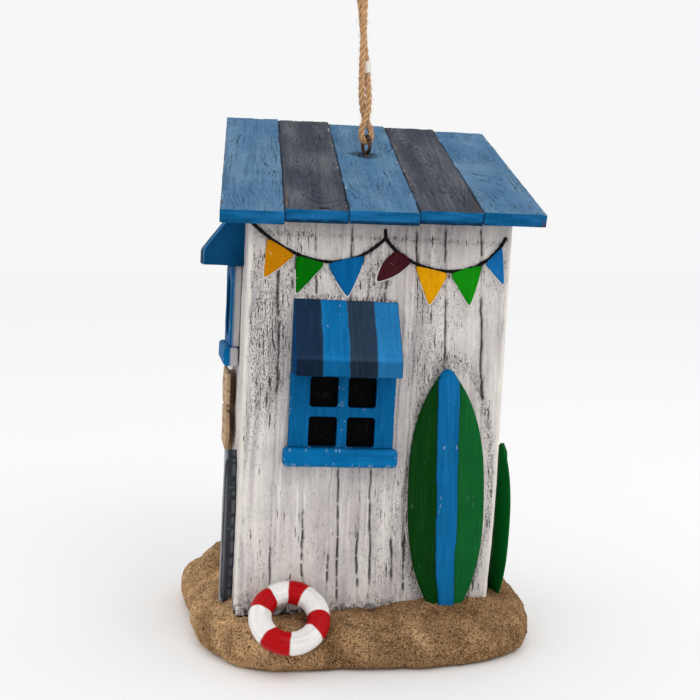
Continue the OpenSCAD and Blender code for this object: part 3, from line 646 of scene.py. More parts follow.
def weathered(u, h, seed, grooves, worn_edges, dark_runs=None):
    """The carving and the paint of a plank wall, over u across it and its height h.

    A groove is a list of (height, place across) pairs. Dark runs are (groove, from, to) heights.
    """
    carve = np.zeros_like(u)
    wash = np.zeros_like(u)
    ridge = np.zeros_like(u)
    for n, g in enumerate(grooves):
        spots = sorted(g)
        middle = np.interp(h, [s[0] for s in spots], [s[1] for s in spots])
        away = u - middle - 0.45 * drift(h, n * 9.1, 14, 1, seed + 1) - 0.22 * drift(
            h, n * 5.3, 3, 1, seed + 2)
        if dark_runs is None:
            kept = step_up(drift(h, n * 7.7, 17, 1, seed + 3) + 0.45 * drift(h, n * 3.1, 4, 1, seed + 4),
                           -0.1, 0.2)
        else:
            kept = np.zeros_like(h)
            for which, low, high in dark_runs:
                if which == n:
                    kept = np.maximum(kept, step_up(h, low - 2, low + 1) * step_up(-h, -high - 2, 1 - high))
        broken = step_up(drift(h, n * 4.9, 1.6, 1, seed + 5), -0.95, -0.5)
        wide = 0.44 + 0.16 * drift(h, n * 2.7, 5, 1, seed + 6)
        carve -= (0.30 + 0.6 * kept) * np.exp(-(away / (wide + 0.1)) ** 2)
        wash += kept * broken * np.exp(-(away / wide) ** 4)
        wash += 0.28 * (1 - kept) * np.exp(-(away / 0.3) ** 2)
        ridge += 0.2 * np.exp(-((away - 0.95) / 0.35) ** 2)
    bend = 1.6 * drift(u, h, 15, 34, seed + 7)
    grain = drift(u + bend, h, 0.95, 30, seed + 8) + 0.6 * drift(u + bend, h, 0.5, 12, seed + 9)
    thick = drift(u + bend, h, 2.2, 45, seed + 10)
    wisp = step_up(drift(u + bend, h, 1.5, 60, seed + 26), 0.5, 0.85)
    carve += 0.13 * grain + 0.12 * thick + 0.1 * drift(u, h, 3, 3, seed + 13) + ridge + 0.12 * wisp
    tone = mixed(np.broadcast_to(white, u.shape + (3,)), lilac,
                 0.26 + 0.40 * drift(u, h, 9, 30, seed + 21) + 0.22 * drift(u, h, 2, 14, seed + 22)
                 + 0.12 * drift(u, h, 0.9, 1.2, seed + 27))
    tone = mixed(tone, white * 1.12, step_up(grain, 0.45, 0.9) * 0.5 + 0.8 * wisp + 1.5 * ridge)
    corner = step_up(np.abs(u) + 0.5 * drift(h, u, 5, 50, seed + 23), worn_edges - 1.9, worn_edges - 1.0)
    tone = mixed(tone, cream, corner * 0.85)
    wash *= 1 - 0.75 * corner
    age = 0.45 + 0.35 * drift(u, h, 11, 24, seed + 11) + 0.2 * drift(u, h, 4.5, 9, seed + 12) - 0.5 * corner
    return carve, wash, tone, age


whitewash = painted("whitewashed_planks", 0.8, 0.08, mottle=0.09, speck=900.0,
                    streaks=(1, 1, 0.12), bump_depth=0.0006, bump_amount=0.75,
                    marks=[(srgb(52, 46, 48), 1350, (1, 1, 0.09), 0.70, 0.590),
                           (srgb(60, 53, 55), 2300, (1, 1, 0.35), 0.74, 0.585),
                           (srgb(96, 88, 90), 2600, (1, 1, 0.8), 0.70, 0.56)])


right_flare = 1.7  # the casting spreads this much towards the right, above its foot


def plank_wall(name, node, place, half, seed, grooves, cell, dark_runs=None, extra=None):
    """A panel: place(u, d) gives its plan point at u across and d behind its outer face."""
    r = 0.9
    tall = 195.0  # drawn this high, then drawn up or down to the roof
    xs = lines(-half, half, cell, r)
    ys = lines(0, tall, cell * 1.1, r)
    points, faces = slab(xs, ys, [-wall_t, -wall_t * 0.6, -r, -0.35 * r, 0])
    points, facing = softened(points, (-half, 0, -wall_t), (half, tall, 0), r)
    u, share, d = points[:, 0], points[:, 1] / tall, -points[:, 2]
    plan = place(u, d)
    height = footing_z + share * (under_roof(plan[:, 0], plan[:, 1]) - footing_z)
    carve, wash, tone, age = weathered(u, height, seed, grooves, half, dark_runs)
    front = np.clip(facing[:, 2], 0, 1)
    u2, d2 = u + facing[:, 0] * carve * (1 - front), d - front * (carve - 0.1)
    low = np.exp(-(height - sand_h) / 4)
    wash = wash + 0.6 * low * step_up(drift(u, height, 0.9, 1.2, seed + 30), 0.0, 0.4)
    age = age + 0.6 * low
    if extra:
        wash, age = extra(u, height, wash, age)
    # Painted shade: the top of each wall is greyed towards lilac, under the roof's overhang.
    tone = mixed(tone, lilac * 0.8, 0.45 * step_up(share, 0.9, 1.0))
    plan = place(u2, d2)
    flare = right_flare * step_up(height, 20, 75) * step_up(plan[:, 0], 30, 52)
    solid = np.stack([plan[:, 0] + flare, plan[:, 1], height], 1)
    tints = mixed(tone, dark, wash * np.where(d > 1.2, 0.5, 1.0))
    return piece(name, leaned(solid), faces, whitewash, stands_for=[node],
                 tints=tints, ages=age)


def upright_grooves(places):
    """Straight grooves, as a plank wall wants them, from their places across it."""
    return [[(0, g)] for g in places]


def by_the_window(u, h, wash, age):
    """Where the black wash stayed on the window wall: round what is cast on it, and in patches."""
    patch = 1.6 * np.exp(-(((u + 46) / 7.5) ** 2 + ((h - 132) / 34) ** 2))
    patch += 0.7 * np.exp(-(((u - 22) / 7) ** 2 + ((h - 140) / 34) ** 2))
    patch += 0.6 * np.exp(-(((u - 12) / 12) ** 2 + ((h - 44) / 20) ** 2))
    age = age * 0.8 + 0.75 * patch
    away = np.maximum(np.abs(u - window_x) - 20.5, np.maximum(h - 152, 84 - h))
    frame_edge = np.exp(-(np.maximum(away, 0) / 1.6) ** 2) * (away > -1)
    board = np.abs(np.hypot((u - 34.5) / 17.6, (h - 70) / 58) - 1) * 17
    board_edge = np.exp(-(board / 1.6) ** 2)
    cord = np.minimum(np.abs(h - np.interp(u, [-54, -38, -28, -12, 1.8], [182, 167.5, 164, 165, 178.6])),
                      np.abs(h - np.interp(u, [1.8, 14, 29, 44, 54], [178.6, 168.5, 164, 166, 181.6])))
    under_cord = np.exp(-(cord / 1.5) ** 2)
    flags_at = [(-47, 164), (-33.5, 158), (-13, 158), (-1, 164), (21.5, 156), (39.5, 156), (53, 164)]
    by_flag = 0.8 * sum(np.exp(-(((u - a) / 6.5) ** 2 + ((h - b) / 8) ** 2)) for a, b in flags_at)
    ragged = step_up(drift(u, h, 0.7, 1.1, 151) + 0.4 * drift(u, h, 3, 4, 152), 0.1, 0.45)
    wash = wash + ragged * (0.6 * frame_edge + 0.3 * board_edge + 0.15 * under_cord)
    age = age + 0.7 * (frame_edge + board_edge) + 0.5 * under_cord + 0.6 * by_flag
    return wash, age


window_x = -13.4
# The window wall's grooves, then the runs of them that the black wash filled.
plank_wall("window_wall", "wall_window",
           lambda u, d: np.stack([u, -hut_d / 2 + d], 1), hut_w / 2, 100,
           [[(171, -43), (116, -40.6), (45, -40.9), (20, -40.1)],
            [(178, -27.5), (154, -26.4), (64, -27.7), (47, -27.1), (30, -26.7)],
            [(182, -12.5), (154, -11.7), (80, -13), (58, -12.4), (24, -11.6)],
            [(161, 3.4), (80, 0.8), (65, 1.1), (31, 2.8)], [(182, 15.2), (167, 16), (100, 16.3)],
            [(183, 27.6), (154, 29.3), (128, 30.8)], [(184, 42), (155, 43.8), (112, 46.4)],
            [(51, 16.7), (28, 17.9)], [(50, 11), (33, 11.9)], [(53, -4), (30, -2.8)],
            [(50, -16.5), (32, -15.9)]], 0.49,
           [(0, 112, 171), (0, 31, 46), (1, 154, 168), (1, 173, 178), (1, 46, 62), (1, 31, 44),
            (2, 158, 182), (2, 150, 156), (2, 59, 80), (2, 24, 57), (3, 153, 161), (3, 68, 80),
            (3, 31, 66), (4, 167, 182), (5, 170, 183), (5, 128, 154), (6, 168, 184), (6, 112, 155),
            (7, 28, 51), (8, 33, 50), (9, 30, 53), (10, 32, 43)], by_the_window)
plank_wall("back_wall", "wall_back",
           lambda u, d: np.stack([-u, hut_d / 2 - d], 1), hut_w / 2, 200,
           upright_grooves([-41.5, -27, -14, 0.4, 13.2, 27.9, 41]), 0.62)
side_half = hut_d / 2 - wall_t
plank_wall("right_wall", "wall_right",
           lambda u, d: np.stack([hut_w / 2 - d, u], 1), side_half, 300,
           upright_grooves([-36.6, -24, -12.3, 0.5, 12.6, 24.4, 36]), 0.62)
entrance_wall = plank_wall("entrance_wall", "wall_entrance",
                           lambda u, d: np.stack([-hut_w / 2 + d, -u], 1), side_half, 400,
                           upright_grooves([-36, -24.6, -11.8, -0.2, 12, 24.8, 36.7]), 0.62)

hole_d, hole_h = 28, 146


def cut_away(target, shapes, tone):
    """Cuts closed shapes, given as points and faces in millimetres, and paints the cut faces."""
    for points, faces in shapes:
        mesh = bpy.data.meshes.new("cutter")
        mesh.from_pydata((points * mm).tolist(), [], faces)
        cutter = bpy.data.objects.new("cutter", mesh)
        scene.collection.objects.link(cutter)
        cut = target.modifiers.new("cut", "BOOLEAN")
        cut.operation, cut.solver, cut.object = "DIFFERENCE", "EXACT", cutter
        whole = bpy.data.meshes.new_from_object(
            target.evaluated_get(bpy.context.evaluated_depsgraph_get()))
        target.modifiers.remove(cut)
        whole.name = target.name
        target.data = whole
        bpy.data.objects.remove(cutter)
        blade = BVHTree.FromPolygons([Vector(p) for p in points * mm], [list(f) for f in faces])
        for vertex, paint in zip(whole.vertices, whole.attributes["paint"].data):
            if blade.find_nearest(vertex.co)[3] < 0.02 * mm:
                paint.color = (*tone, 1)


def bored(target, centre, along, radius, tone, length=30):
    """Cuts a round hole through a piece, in millimetres."""
    drill = swept(np.array(centre) + np.outer([-0.5, 0.5], along) * length, radius, 72)
    cut_away(target, [drill], tone)


hole_mid = leaned([-hut_w / 2, 0, hole_h])
hole_way = leaned([1, 0, 0]) - leaned([0, 0, 0])
# Painted shade: the hole's sides get a darker copy of the wall's lilac.
bored(entrance_wall, hole_mid, hole_way, hole_d / 2, lilac * 0.6)

# ---- roof ----
# Five boards side by side, blue and charcoal in turn, carved with grain and scuffed. Their front
# ends are painted in one bright blue band, darker along its lower edge, and chipped at the corners.

roof_paint = painted("roof_paint", 0.75, 0.05, mottle=0.14, speck=900.0, streaks=(1, 0.2, 0.4),
                     bump_depth=0.0003, bump_amount=0.5,
                     marks=[(srgb(40, 44, 52), 1000, (1, 0.16, 0.16), 0.70, 0.62)])
# The blue boards' top colour is a lighter, greyer copy of the fascia's blue: a painted sheen of reflected
# light on the tops.
roof_blue_with_sheen, roof_navy = srgb(76, 116, 151), srgb(63, 68, 79)
fascia_blue, fascia_dark = srgb(6, 84, 129), srgb(12, 34, 58)
chip_brown, seam_dark = srgb(104, 78, 62), srgb(34, 38, 46)
slip = [0.5, -0.8, 0.4, -0.3, 0.8]  # how far each board sits towards the front
board_gap = 0.04
board_name = ["blue_board_left", "navy_board_left", "blue_board_middle", "navy_board_right",
              "blue_board_right"]
for i in range(1, 6):
    left, right = board_lefts[i - 1] + board_gap / 2, board_lefts[i] - board_gap / 2
    y0, y1, r = -roof_l / 2 - slip[i - 1], roof_l / 2 - slip[i - 1], 0.4
    points, faces = slab(lines(left, right, 0.42, r), lines(y0, y1, 0.5, r),
                         [-roof_t, -roof_t + 0.15, -roof_t + r, -4.3, -3.5, -2.7, -1.9, -1.1, -r, -0.15, 0])
    p, facing = softened(points, (left, y0, -roof_t), (right, y1, 0), r)
    x, y, z = p.T
    s = 500 + 40 * i
    mid = (left + right) / 2 + 6 * drift(y, i, 60, 1, s)
    swirl = np.hypot(x - mid, (y - 25 * drift(i, 0, 1, 1, s + 1)) / 5.5)
    swirl = swirl + 2.2 * drift(x, y, 9, 22, s + 2) + 0.9 * drift(x, y, 3.5, 8, s + 3)
    rings = np.abs((swirl / 1.55) % 1 - 0.5) * 2
    cut = step_up(rings, 0.72, 0.98) * step_up(drift(x, y, 6, 15, s + 4) + 0.4 * drift(x, y, 2, 4, s + 5),
                                               -0.2, 0.5)
    fine = drift(x + 0.8 * drift(x, y, 8, 20, s + 6), y, 0.7, 16, s + 7)
    top = np.clip(facing[:, 2], 0, 1)
    front = step_up(-(y - y0), -0.9, -0.3)
    near_edge = np.minimum(x - left, right - x)
    ragged = 0.4 * drift(y, i * 3 + (x > mid), 2.5, 1, s + 8) + 0.3 * drift(y, i, 0.8, 1, s + 9)
    seam = step_up(-near_edge + ragged * 0.4, -0.55, -0.1) * step_up(drift(y, i + 9 * (x > mid), 9, 1, 83),
                                                                    -0.7, 0.1)
    outer = ((i == 1) & (x < mid)) | ((i == 5) & (x > mid))
    chips = step_up(drift(x * 0.6 + z, y, 1.8, 4.5, s + 10) + 0.5 * drift(x, y, 0.8, 1.2, s + 11),
                    0.55, 0.85) * step_up(-near_edge, -1.5, -0.5) * top
    base = roof_navy if i % 2 == 0 else roof_blue_with_sheen
    # The tops are greyed partly by dry-brushing and partly by a painted sheen of reflected light.
    sheen_and_drybrush_grey = srgb(122, 122, 126) if i % 2 == 0 else srgb(118, 148, 172)
    tone = mixed(np.broadcast_to(base, x.shape + (3,)), sheen_and_drybrush_grey,
                 0.12 + 0.35 * drift(x, y, 7, 26, s + 12) + 0.2 * step_up(fine, 0.2, 0.9))
    tone = mixed(tone, base * 0.72, 0.55 * step_up(-drift(x, y, 1.2, 20, s + 13), 0.2, 0.9))
    tone = mixed(tone, seam_dark, 0.72 * cut + 0.25 * step_up(-fine, 0.55, 0.95))
    tone = mixed(tone, seam_dark, np.where(outer, 0.1, 0.6) * seam)
    split = (i == 2) * np.exp(-(((x - left - 0.9) / 0.7) ** 2 + ((y - y0 - 10) / 9) ** 2))
    split = split + (i == 4) * np.exp(-(((right - x - 0.9) / 0.7) ** 2 + ((y - y0 - 8) / 12) ** 2))
    tone = mixed(tone, srgb(84, 66, 58), 0.8 * split)
    tone = mixed(tone, np.where((drift(x, y, 5, 9, s + 14) > 0)[:, None], chip_brown, srgb(176, 184, 190)),
                 chips * np.where(outer, 0.9, 0.7))
    band = mixed(np.broadcast_to(fascia_blue, x.shape + (3,)), srgb(30, 110, 168),
                 0.3 + 0.6 * drift(x, z, 7, 1.2, s + 15))
    low_line = step_up(-z + 0.35 * drift(x, 0, 3, 1, s + 16), 3.7, 4.4) * (0.85 if 2 <= i <= 4 else 0.2)
    band = mixed(band, fascia_dark, low_line)
    band = mixed(band, seam_dark, 0.6 * step_up(-near_edge + 0.2 * ragged, -0.3, 0.05))
    tone = mixed(tone, band, front)
    if i == 5:  # its outer corner is knocked back to the grey under the paint
        tired = step_up(x, right - 6, right - 1) * step_up(-y, -y0 - 4, -y0) * step_up(
            drift(x, z + y, 1.6, 1.2, 77), -0.3, 0.4)
        tone = mixed(tone, srgb(70, 66, 66), 0.75 * tired)
    if i == 2:  # a knot just behind the eave
        spot = np.hypot((x - (left + 16)) / 2.6, (y - (y0 + 3.4)) / 1.3) + 0.5 * drift(x, y, 1, 0.8, 78)
        tone = mixed(tone, srgb(18, 16, 18), step_up(-spot, -1.1, -0.6))
    sunk = np.zeros_like(x)
    if i == 3:  # the dished, smudged patch that the eye stands in
        away = np.hypot((x + 0.3) / 1.25, (y - 13.6)) + 0.9 * drift(x, y, 2.2, 1.6, 79)
        sunk = 0.9 * step_up(-away, -6.0, -2.0)
        smudge = step_up(-away, -7.5, -2.4) * (0.7 + 0.5 * drift(x, y, 1.1, 0.9, 80))
        beside = np.hypot((x + 6.5) / 2.2, (y - 15.5) / 1.2) + 0.7 * drift(x, y, 1.2, 0.9, 84)
        ahead = np.hypot((x - 1.5) / 3.2, (y - 8.6) / 1.4) + 0.7 * drift(x, y, 1.2, 0.9, 85)
        for stain in (beside, ahead):
            smudge = np.maximum(smudge, 0.7 * step_up(-stain, -1.3, -0.5))
        tone = mixed(tone, srgb(38, 38, 44), smudge)
    carve = -0.34 * cut + 0.1 * fine + 0.16 * drift(x, y, 5, 9, s + 17) - 0.25 * seam - 0.35 * chips - sunk
    p = p + facing * (carve * np.where(top > 0.3, 1.0, 0.3))[:, None]
    age = 0.5 + 0.5 * drift(x, y, 6, 20, s + 18) - front
    piece(board_name[i - 1], leaned(on_roof(p, i)), faces, roof_paint, stands_for=[f"roof_board_{i}"],
          tints=tone, ages=age)

# ---- window ----
# A little awning over a four-paned window with a thick sill, all cast proud of the wall. The frame
# and sill are brushed bright blue, the panes gloss black, and the awning navy and blue in stripes.

window_h, front_y = 90.2, -hut_d / 2
pane_w, pane_h, bar_w, jamb_w = 12, 12.6, 4.2, 8.2
low_rail, top_rail, frame_out = 0.5, 1.5, 4
window_w, frame_h = 2 * (pane_w + jamb_w) + bar_w, low_rail + 2 * pane_h + bar_w + top_rail
pane_spots = [(sx * (pane_w + bar_w) / 2, low_rail + pane_h / 2 + up * (pane_h + bar_w))
              for sx in (-1, 1) for up in (0, 1)]


def on_window(p):
    """Points drawn on the window wall, as [across, up, out] from the middle of the sill's top."""
    p = np.asarray(p, float)
    return leaned(np.stack([window_x + p[..., 0], front_y - p[..., 2], window_h + p[..., 1]], -1))


def brushed(base, along, across, seed, worn=0.0, nick_tone=(188, 206, 218), nicks=1.0):
    """Brush marks along a painted piece, small nicks, and rubbed paint where worn says."""
    tone = np.broadcast_to(base, np.shape(along) + (3,))
    tone = mixed(tone, base * 0.70, 0.55 * step_up(drift(across, along, 0.9, 15, seed), 0.1, 0.8))
    stroke = step_up(drift(across, along, 0.6, 11, seed + 1), 0.2, 0.9)
    tone = mixed(tone, base * 1.25 + 0.008, 0.5 * stroke)
    nick = step_up(drift(across, along, 0.5, 0.6, seed + 2)
                   + 0.5 * drift(across, along, 1.7, 3.2, seed + 3), 1.12, 1.25) * nicks
    rub = worn * step_up(drift(across, along, 0.45, 0.7, seed + 4)
                         + 0.5 * drift(across, along, 4, 5, seed + 8), 0.45, 0.9)
    return mixed(tone, srgb(*nick_tone), 0.75 * nick + 0.6 * rub)


def rubbed_edge(facing):
    """1 along the rounded edges of a block, 0 on its faces."""
    return step_up(1 - np.abs(facing).max(-1), 0.06, 0.25)


trim_paint = painted("trim_paint", 0.6, 0.04, mottle=0.1, speck=1000.0, streaks=(1, 1, 0.3),
                     bump_depth=0.00018, bump_amount=0.4)
# The frames' blue is darker than the sills' blue: painted shade from the awning over each frame.
trim_blue_shaded = srgb(3, 90, 142)


def trim_block(name, low, high, r, place, base, seed, node, material, along=0, white_to=0.0):
    """One painted block with rounded, rubbed edges. The wall's white runs up its sides to a height."""
    zs = np.concatenate([[low[2], low[2] + 0.4 * r, low[2] + r],
                         np.linspace(low[2] + r, high[2] - r, 5)[1:-1],
                         [high[2] - r, high[2] - 0.4 * r, high[2]]])
    points, faces = slab(lines(low[0], high[0], 0.5, r), lines(low[1], high[1], 0.5, r), zs)
    p, facing = softened(points, low, high, r)
    a, b = (p[:, 0], p[:, 1] + p[:, 2]) if along == 0 else (p[:, 1], p[:, 0] + p[:, 2])
    tone = brushed(base, a, b, seed, rubbed_edge(facing), nicks=0.45)
    carve = 0.07 * drift(b, a, 0.9, 14, seed + 5) + 0.1 * drift(a, b, 7, 5, seed + 6)
    back = step_up(p[:, 2] - low[2], 0, 0.8)
    if white_to:
        on_side = np.abs(facing[:, 0]) > 0.5
        tone = mixed(tone, white * 0.8, step_up(white_to - p[:, 2], -0.3, 0.1) * on_side * 0.9)
    p = p + facing * (carve * back)[:, None]
    return piece(name, place(p), faces, material, stands_for=[node] if node else (),
                 tints=tone)


def round_prism(cx, cy, w, h, r, z0, z1, place):
    """An upright box with round corners, to cut an opening with."""
    corner = np.radians(np.arange(0, 91, 15))
    ring = [(cx + sx * (w / 2 - r) + r * math.cos(t + q), cy + sy * (h / 2 - r) + r * math.sin(t + q))
            for q, sx, sy in ((0, 1, 1), (math.pi / 2, -1, 1), (math.pi, -1, -1), (-math.pi / 2, 1, -1))
            for t in corner]
    n = len(ring)
    points = place(np.array([(x, y, z) for z in (z0, z1) for x, y in ring]))
    faces = [(i, (i + 1) % n, n + (i + 1) % n, n + i) for i in range(n)]
    return points, faces + [tuple(range(n))[::-1], tuple(range(n, 2 * n))]


window_frame = trim_block("window_frame_blue", (-window_w / 2, 0, 0), (window_w / 2, frame_h, frame_out),
                          0.6, on_window, trim_blue_shaded, 610, "window_frame", trim_paint,
                          along=1)
# Painted shade: the sides of the four openings get a darker copy of the frame's blue.
cut_away(window_frame, [round_prism(cx, cy, pane_w, pane_h, 1.3, -1, frame_out + 2, on_window)
                        for cx, cy in pane_spots], srgb(2, 44, 76))

black_gloss = painted("black_pane_gloss", 0.3, 0.02, mottle=0.3, speck=700.0, bump_depth=0.0003,
                      bump_amount=0.5)
pane_t, pane_edge = 1.2, 0.4
pane_points, pane_faces, pane_tones = [], [], []
for n, (cx, cy) in enumerate(pane_spots):
    low, high = (cx - pane_w / 2, cy - pane_h / 2, 0), (cx + pane_w / 2, cy + pane_h / 2, pane_t)
    points, faces = slab(lines(low[0], high[0], 0.6, pane_edge), lines(low[1], high[1], 0.6, pane_edge),
                         [0, pane_edge, 0.8, 1.05, pane_t])
    p, facing = softened(points, low, high, pane_edge)
    p[:, 2] += facing[:, 2].clip(0) * (0.25 * drift(p[:, 0], p[:, 1], 4, 4, 640 + n) - 0.2)
    smear = step_up(drift(p[:, 0], p[:, 1], 0.8, 2.2, 650 + n), 0.45, 0.9)
    pane_tones.append(mixed(np.broadcast_to(srgb(4, 4, 5), p.shape), srgb(26, 25, 28), 0.5 * smear))
    pane_faces += [[v + sum(map(len, pane_points)) for v in f] for f in faces]
    pane_points.append(p)
piece("window_panes_black", on_window(np.concatenate(pane_points)), pane_faces, black_gloss,
      stands_for=["window_panes"], tints=np.concatenate(pane_tones))

sill_past, sill_h, sill_out, sill_blue = 2, 8, 6.5, srgb(3, 103, 160)
trim_block("window_sill_blue", (-window_w / 2 - sill_past, -sill_h, 0),
           (window_w / 2 + sill_past, 0, sill_out), 1.9, on_window, sill_blue, 660, "window_sill",
           trim_paint)

awning_paint = painted("awning_paint", 0.62, 0.04, mottle=0.12, speck=1000.0, streaks=(1, 0.5, 0.3),
                       bump_depth=0.0002, bump_amount=0.4)
# Each stripe colour on the left of an awning and on its right, where painted light makes it lighter.
awning_tones = {"navy": (srgb(22, 44, 68), srgb(40, 56, 76)),
                "blue": (srgb(10, 106, 164), srgb(36, 118, 174))}


def striped_awning(name, width, out, height, valance, seams, first_navy, place, seed, node, cheek):
    """A sloping awning with a hanging front edge, in stripes across its width."""
    slope = np.linspace([0.0, height], [out - 0.9, valance + 1.2], 52)
    fold = [[out - 0.35, valance + 0.45], [out - 0.05, valance - 0.4]]
    hang = np.linspace([out, valance - 1.0], [out, 0.5], 12)
    under = [[out - 0.15, 0.12], [out - 0.6, 0], [0, 0]]
    ring = np.vstack([slope, fold, hang, under])
    hang_from, under_from = len(slope), len(ring) - len(under)
    xs = lines(-width / 2, width / 2, 0.42, 0.5)
    m, n = len(ring), len(xs)
    x = np.repeat(xs, m)
    z, y = np.tile(ring[:, 0], n), np.tile(ring[:, 1], n)
    k = np.tile(np.arange(m), n)
    away = np.array([0.62, 0.78])
    facing = np.where((k < under_from)[:, None], [1.0, 0.0], [0.0, -1.0])
    facing = np.where((k < hang_from)[:, None], away, facing)
    facing[k == 0] = facing[k == m - 1] = 0
    wave = 0.5 * drift(y, x * 0, 13, 1, seed) + 0.2 * drift(y, x, 3, 30, seed + 1)
    stripe = np.zeros(len(x), int)
    line = np.full(len(x), 9.0)
    for s in seams:
        edge = s * width - width / 2 + wave
        stripe += x > edge
        line = np.minimum(line, np.abs(x - edge))
    navy = (stripe + (0 if first_navy else 1)) % 2 == 0
    # Painted light: stripes past the second take the lighter right-hand tones.
    right = (stripe > 1)[:, None]
    navy_tone, blue_tone = (np.where(right, awning_tones[c][1], awning_tones[c][0])
                            for c in ("navy", "blue"))
    tone = np.where(navy[:, None], brushed(navy_tone, y, x, seed + 2, nick_tone=(86, 104, 126)),
                    brushed(blue_tone, y, x, seed + 9))
    # Painted shade: the hanging front edge is darkened, navy more than blue.
    hang = step_up(-y, -valance - 0.2, -valance + 0.5)
    tone = mixed(tone, tone * np.where(navy, 0.52, 0.72)[:, None], hang)
    # Painted highlight: a lighter blue line along each raised seam between the stripes, fainter on the
    # hanging edge.
    tone = mixed(tone, srgb(44, 118, 166), 0.55 * step_up(-line, -0.4, -0.1) * (1 - 0.6 * hang))
    end = step_up(np.abs(x) - width / 2, -0.35, -0.1)
    tone = mixed(tone, cheek, end * 0.9)
    # Painted highlight: a lighter line along the fold at the top of the hanging edge.
    fold_highlight = np.exp(-(((k - hang_from + 1) / 1.4) ** 2))
    tone = mixed(tone, tone * 1.25 + 0.01, fold_highlight * 0.4)
    lift = 0.22 * np.exp(-(line / 0.45) ** 2) + 0.1 * drift(x, y, 1.1, 16, seed + 3) + 0.14 * drift(
        x, y, 6, 9, seed + 4) - 0.25 * end
    z, y = z + facing[:, 0] * lift, y + facing[:, 1] * lift
    i, j = np.meshgrid(np.arange(n - 1), np.arange(m), indexing="ij")
    j2 = (j + 1) % m
    faces = np.stack([i * m + j, i * m + j2, (i + 1) * m + j2, (i + 1) * m + j], -1).reshape(-1, 4)
    faces = faces.tolist() + [list(range(m))[::-1], [(n - 1) * m + q for q in range(m)]]
    return piece(name, place(np.stack([x, y, z], -1)), faces, awning_paint, stands_for=[node],
                 tints=tone)


awning_h, awning_out, valance_h = 30.4, 17, 6.6
striped_awning("window_awning_striped", window_w - 0.4, awning_out, awning_h, valance_h,
               (0.26, 0.502, 0.769), True, lambda p: on_window(p + np.array([0, frame_h, 0])), 700,
               "window_awning", srgb(4, 60, 104))

# ---- entrance ----
# The bird's way in: a round hole through a square blue frame, with a perch-like sill under it and
# a second striped awning over it.


def on_entrance(y, z):
    """A way to place points drawn on the entrance wall, as [towards the window side, up, out]."""
    return lambda p: leaned(np.stack([-hut_w / 2 - p[..., 2], y - p[..., 0], z + p[..., 1]], -1))


entrance_w, entrance_h, entrance_sill_h = 41, 36, 8.5
entrance_frame = trim_block("entrance_frame_blue", (-entrance_w / 2, -entrance_h / 2, 0),
                            (entrance_w / 2, entrance_h / 2, 4.5), 0.7, on_entrance(0, hole_h),
                            trim_blue_shaded, 810, "entrance_frame", trim_paint, along=1,
                            white_to=2.9)
# Painted shade: the hole's sides through the frame get a darker copy of its blue.
bored(entrance_frame, hole_mid, hole_way, hole_d / 2, srgb(4, 70, 112))
trim_block("entrance_sill_blue", (-entrance_w / 2 - 2.5, 0, 0),
           (entrance_w / 2 + 2.5, entrance_sill_h, 7), 1.6,
           on_entrance(0, hole_h - entrance_h / 2 - entrance_sill_h), sill_blue, 830, "entrance_sill",
           trim_paint, white_to=4.0)
striped_awning("entrance_awning_striped", 54, 17.2, 30, valance_h, (0.2, 0.4, 0.6, 0.8), False,
               on_entrance(0, hole_h + entrance_h / 2), 850, "entrance_awning", srgb(3, 66, 108))

# ---- signs ----
# Two blank arrow boards on a thin post, cast with the wall and painted as bare driftwood.

driftwood = painted("driftwood_paint", 0.85, 0.05, mottle=0.14, speck=900.0, streaks=(1, 0.3, 1),
                    bump_depth=0.0003, bump_amount=0.5)
tan_wood, old_wood = srgb(190, 160, 128), srgb(104, 78, 56)
sign_l, sign_h, sign_point = 38, 17, 7
post_w, post_t, post_y = 5, 2.5, 4
lower_sign_z, upper_sign_z = 80.5, 98.5
sign_block = (0, 0, post_t), (sign_l, sign_h, post_t + 1.8)


def wooden(name, low, high, warp, place, seed, node, along=0):
    """A piece of bare wood, its grain along its length, bent by warp before it is placed."""
    points, faces = slab(lines(low[0], high[0], 0.5, 0.4), lines(low[1], high[1], 0.5, 0.4),
                         [low[2], low[2] + 0.4, high[2] - 0.4, high[2] - 0.15, high[2]])
    p, facing = softened(points, low, high, 0.4)
    a, b = (p[:, 0], p[:, 1]) if along == 0 else (p[:, 1], p[:, 0])
    grain = drift(a, b + 0.8 * drift(a, b, 12, 6, seed), 14, 0.7, seed + 1)
    tone = mixed(np.broadcast_to(tan_wood, p.shape), old_wood,
                 0.75 * step_up(-grain, 0.25, 0.8) + 0.5 * rubbed_edge(facing)
                 * step_up(drift(a, b, 2, 2, seed + 2), 0, 0.5))
    tone = mixed(tone, srgb(226, 206, 180), 0.5 * step_up(grain, 0.4, 0.9))
    p = p + facing * (0.14 * grain + 0.1 * drift(a, b, 5, 3, seed + 3))[:, None] * step_up(
        p[:, 2] - low[2], 0, 0.5)[:, None]
    return piece(name, place(warp(p)), faces, driftwood, stands_for=[node], tints=tone)


def pointed(way):
    """Draws the far end of a sign in to a point."""
    on_post = 15.2  # the place along the board that lies over the post

    def warp(p):
        share = np.clip((sign_l - p[:, 0]) / sign_point, 0, 1)
        share = np.where(p[:, 0] > sign_l - sign_point, np.maximum(share, 0.02), 1)
        p[:, 1] = sign_h / 2 + (p[:, 1] - sign_h / 2) * share
        p[:, 0] = (p[:, 0] - on_post) * way
        return p
    return warp


wooden("sign_post_wood", (-post_w / 2, 0, 0), (post_w / 2, 98.5, post_t), lambda p: p,
       on_entrance(post_y, footing_z), 900, "sign_post", along=1)
wooden("sign_lower_wood", *sign_block, pointed(1), on_entrance(post_y, lower_sign_z), 910,
       "sign_board_lower")
upper_sign = wooden("sign_upper_wood", *sign_block, pointed(-1), on_entrance(post_y, upper_sign_z), 920,
                    "sign_board_upper")
upper_sign.data.flip_normals()

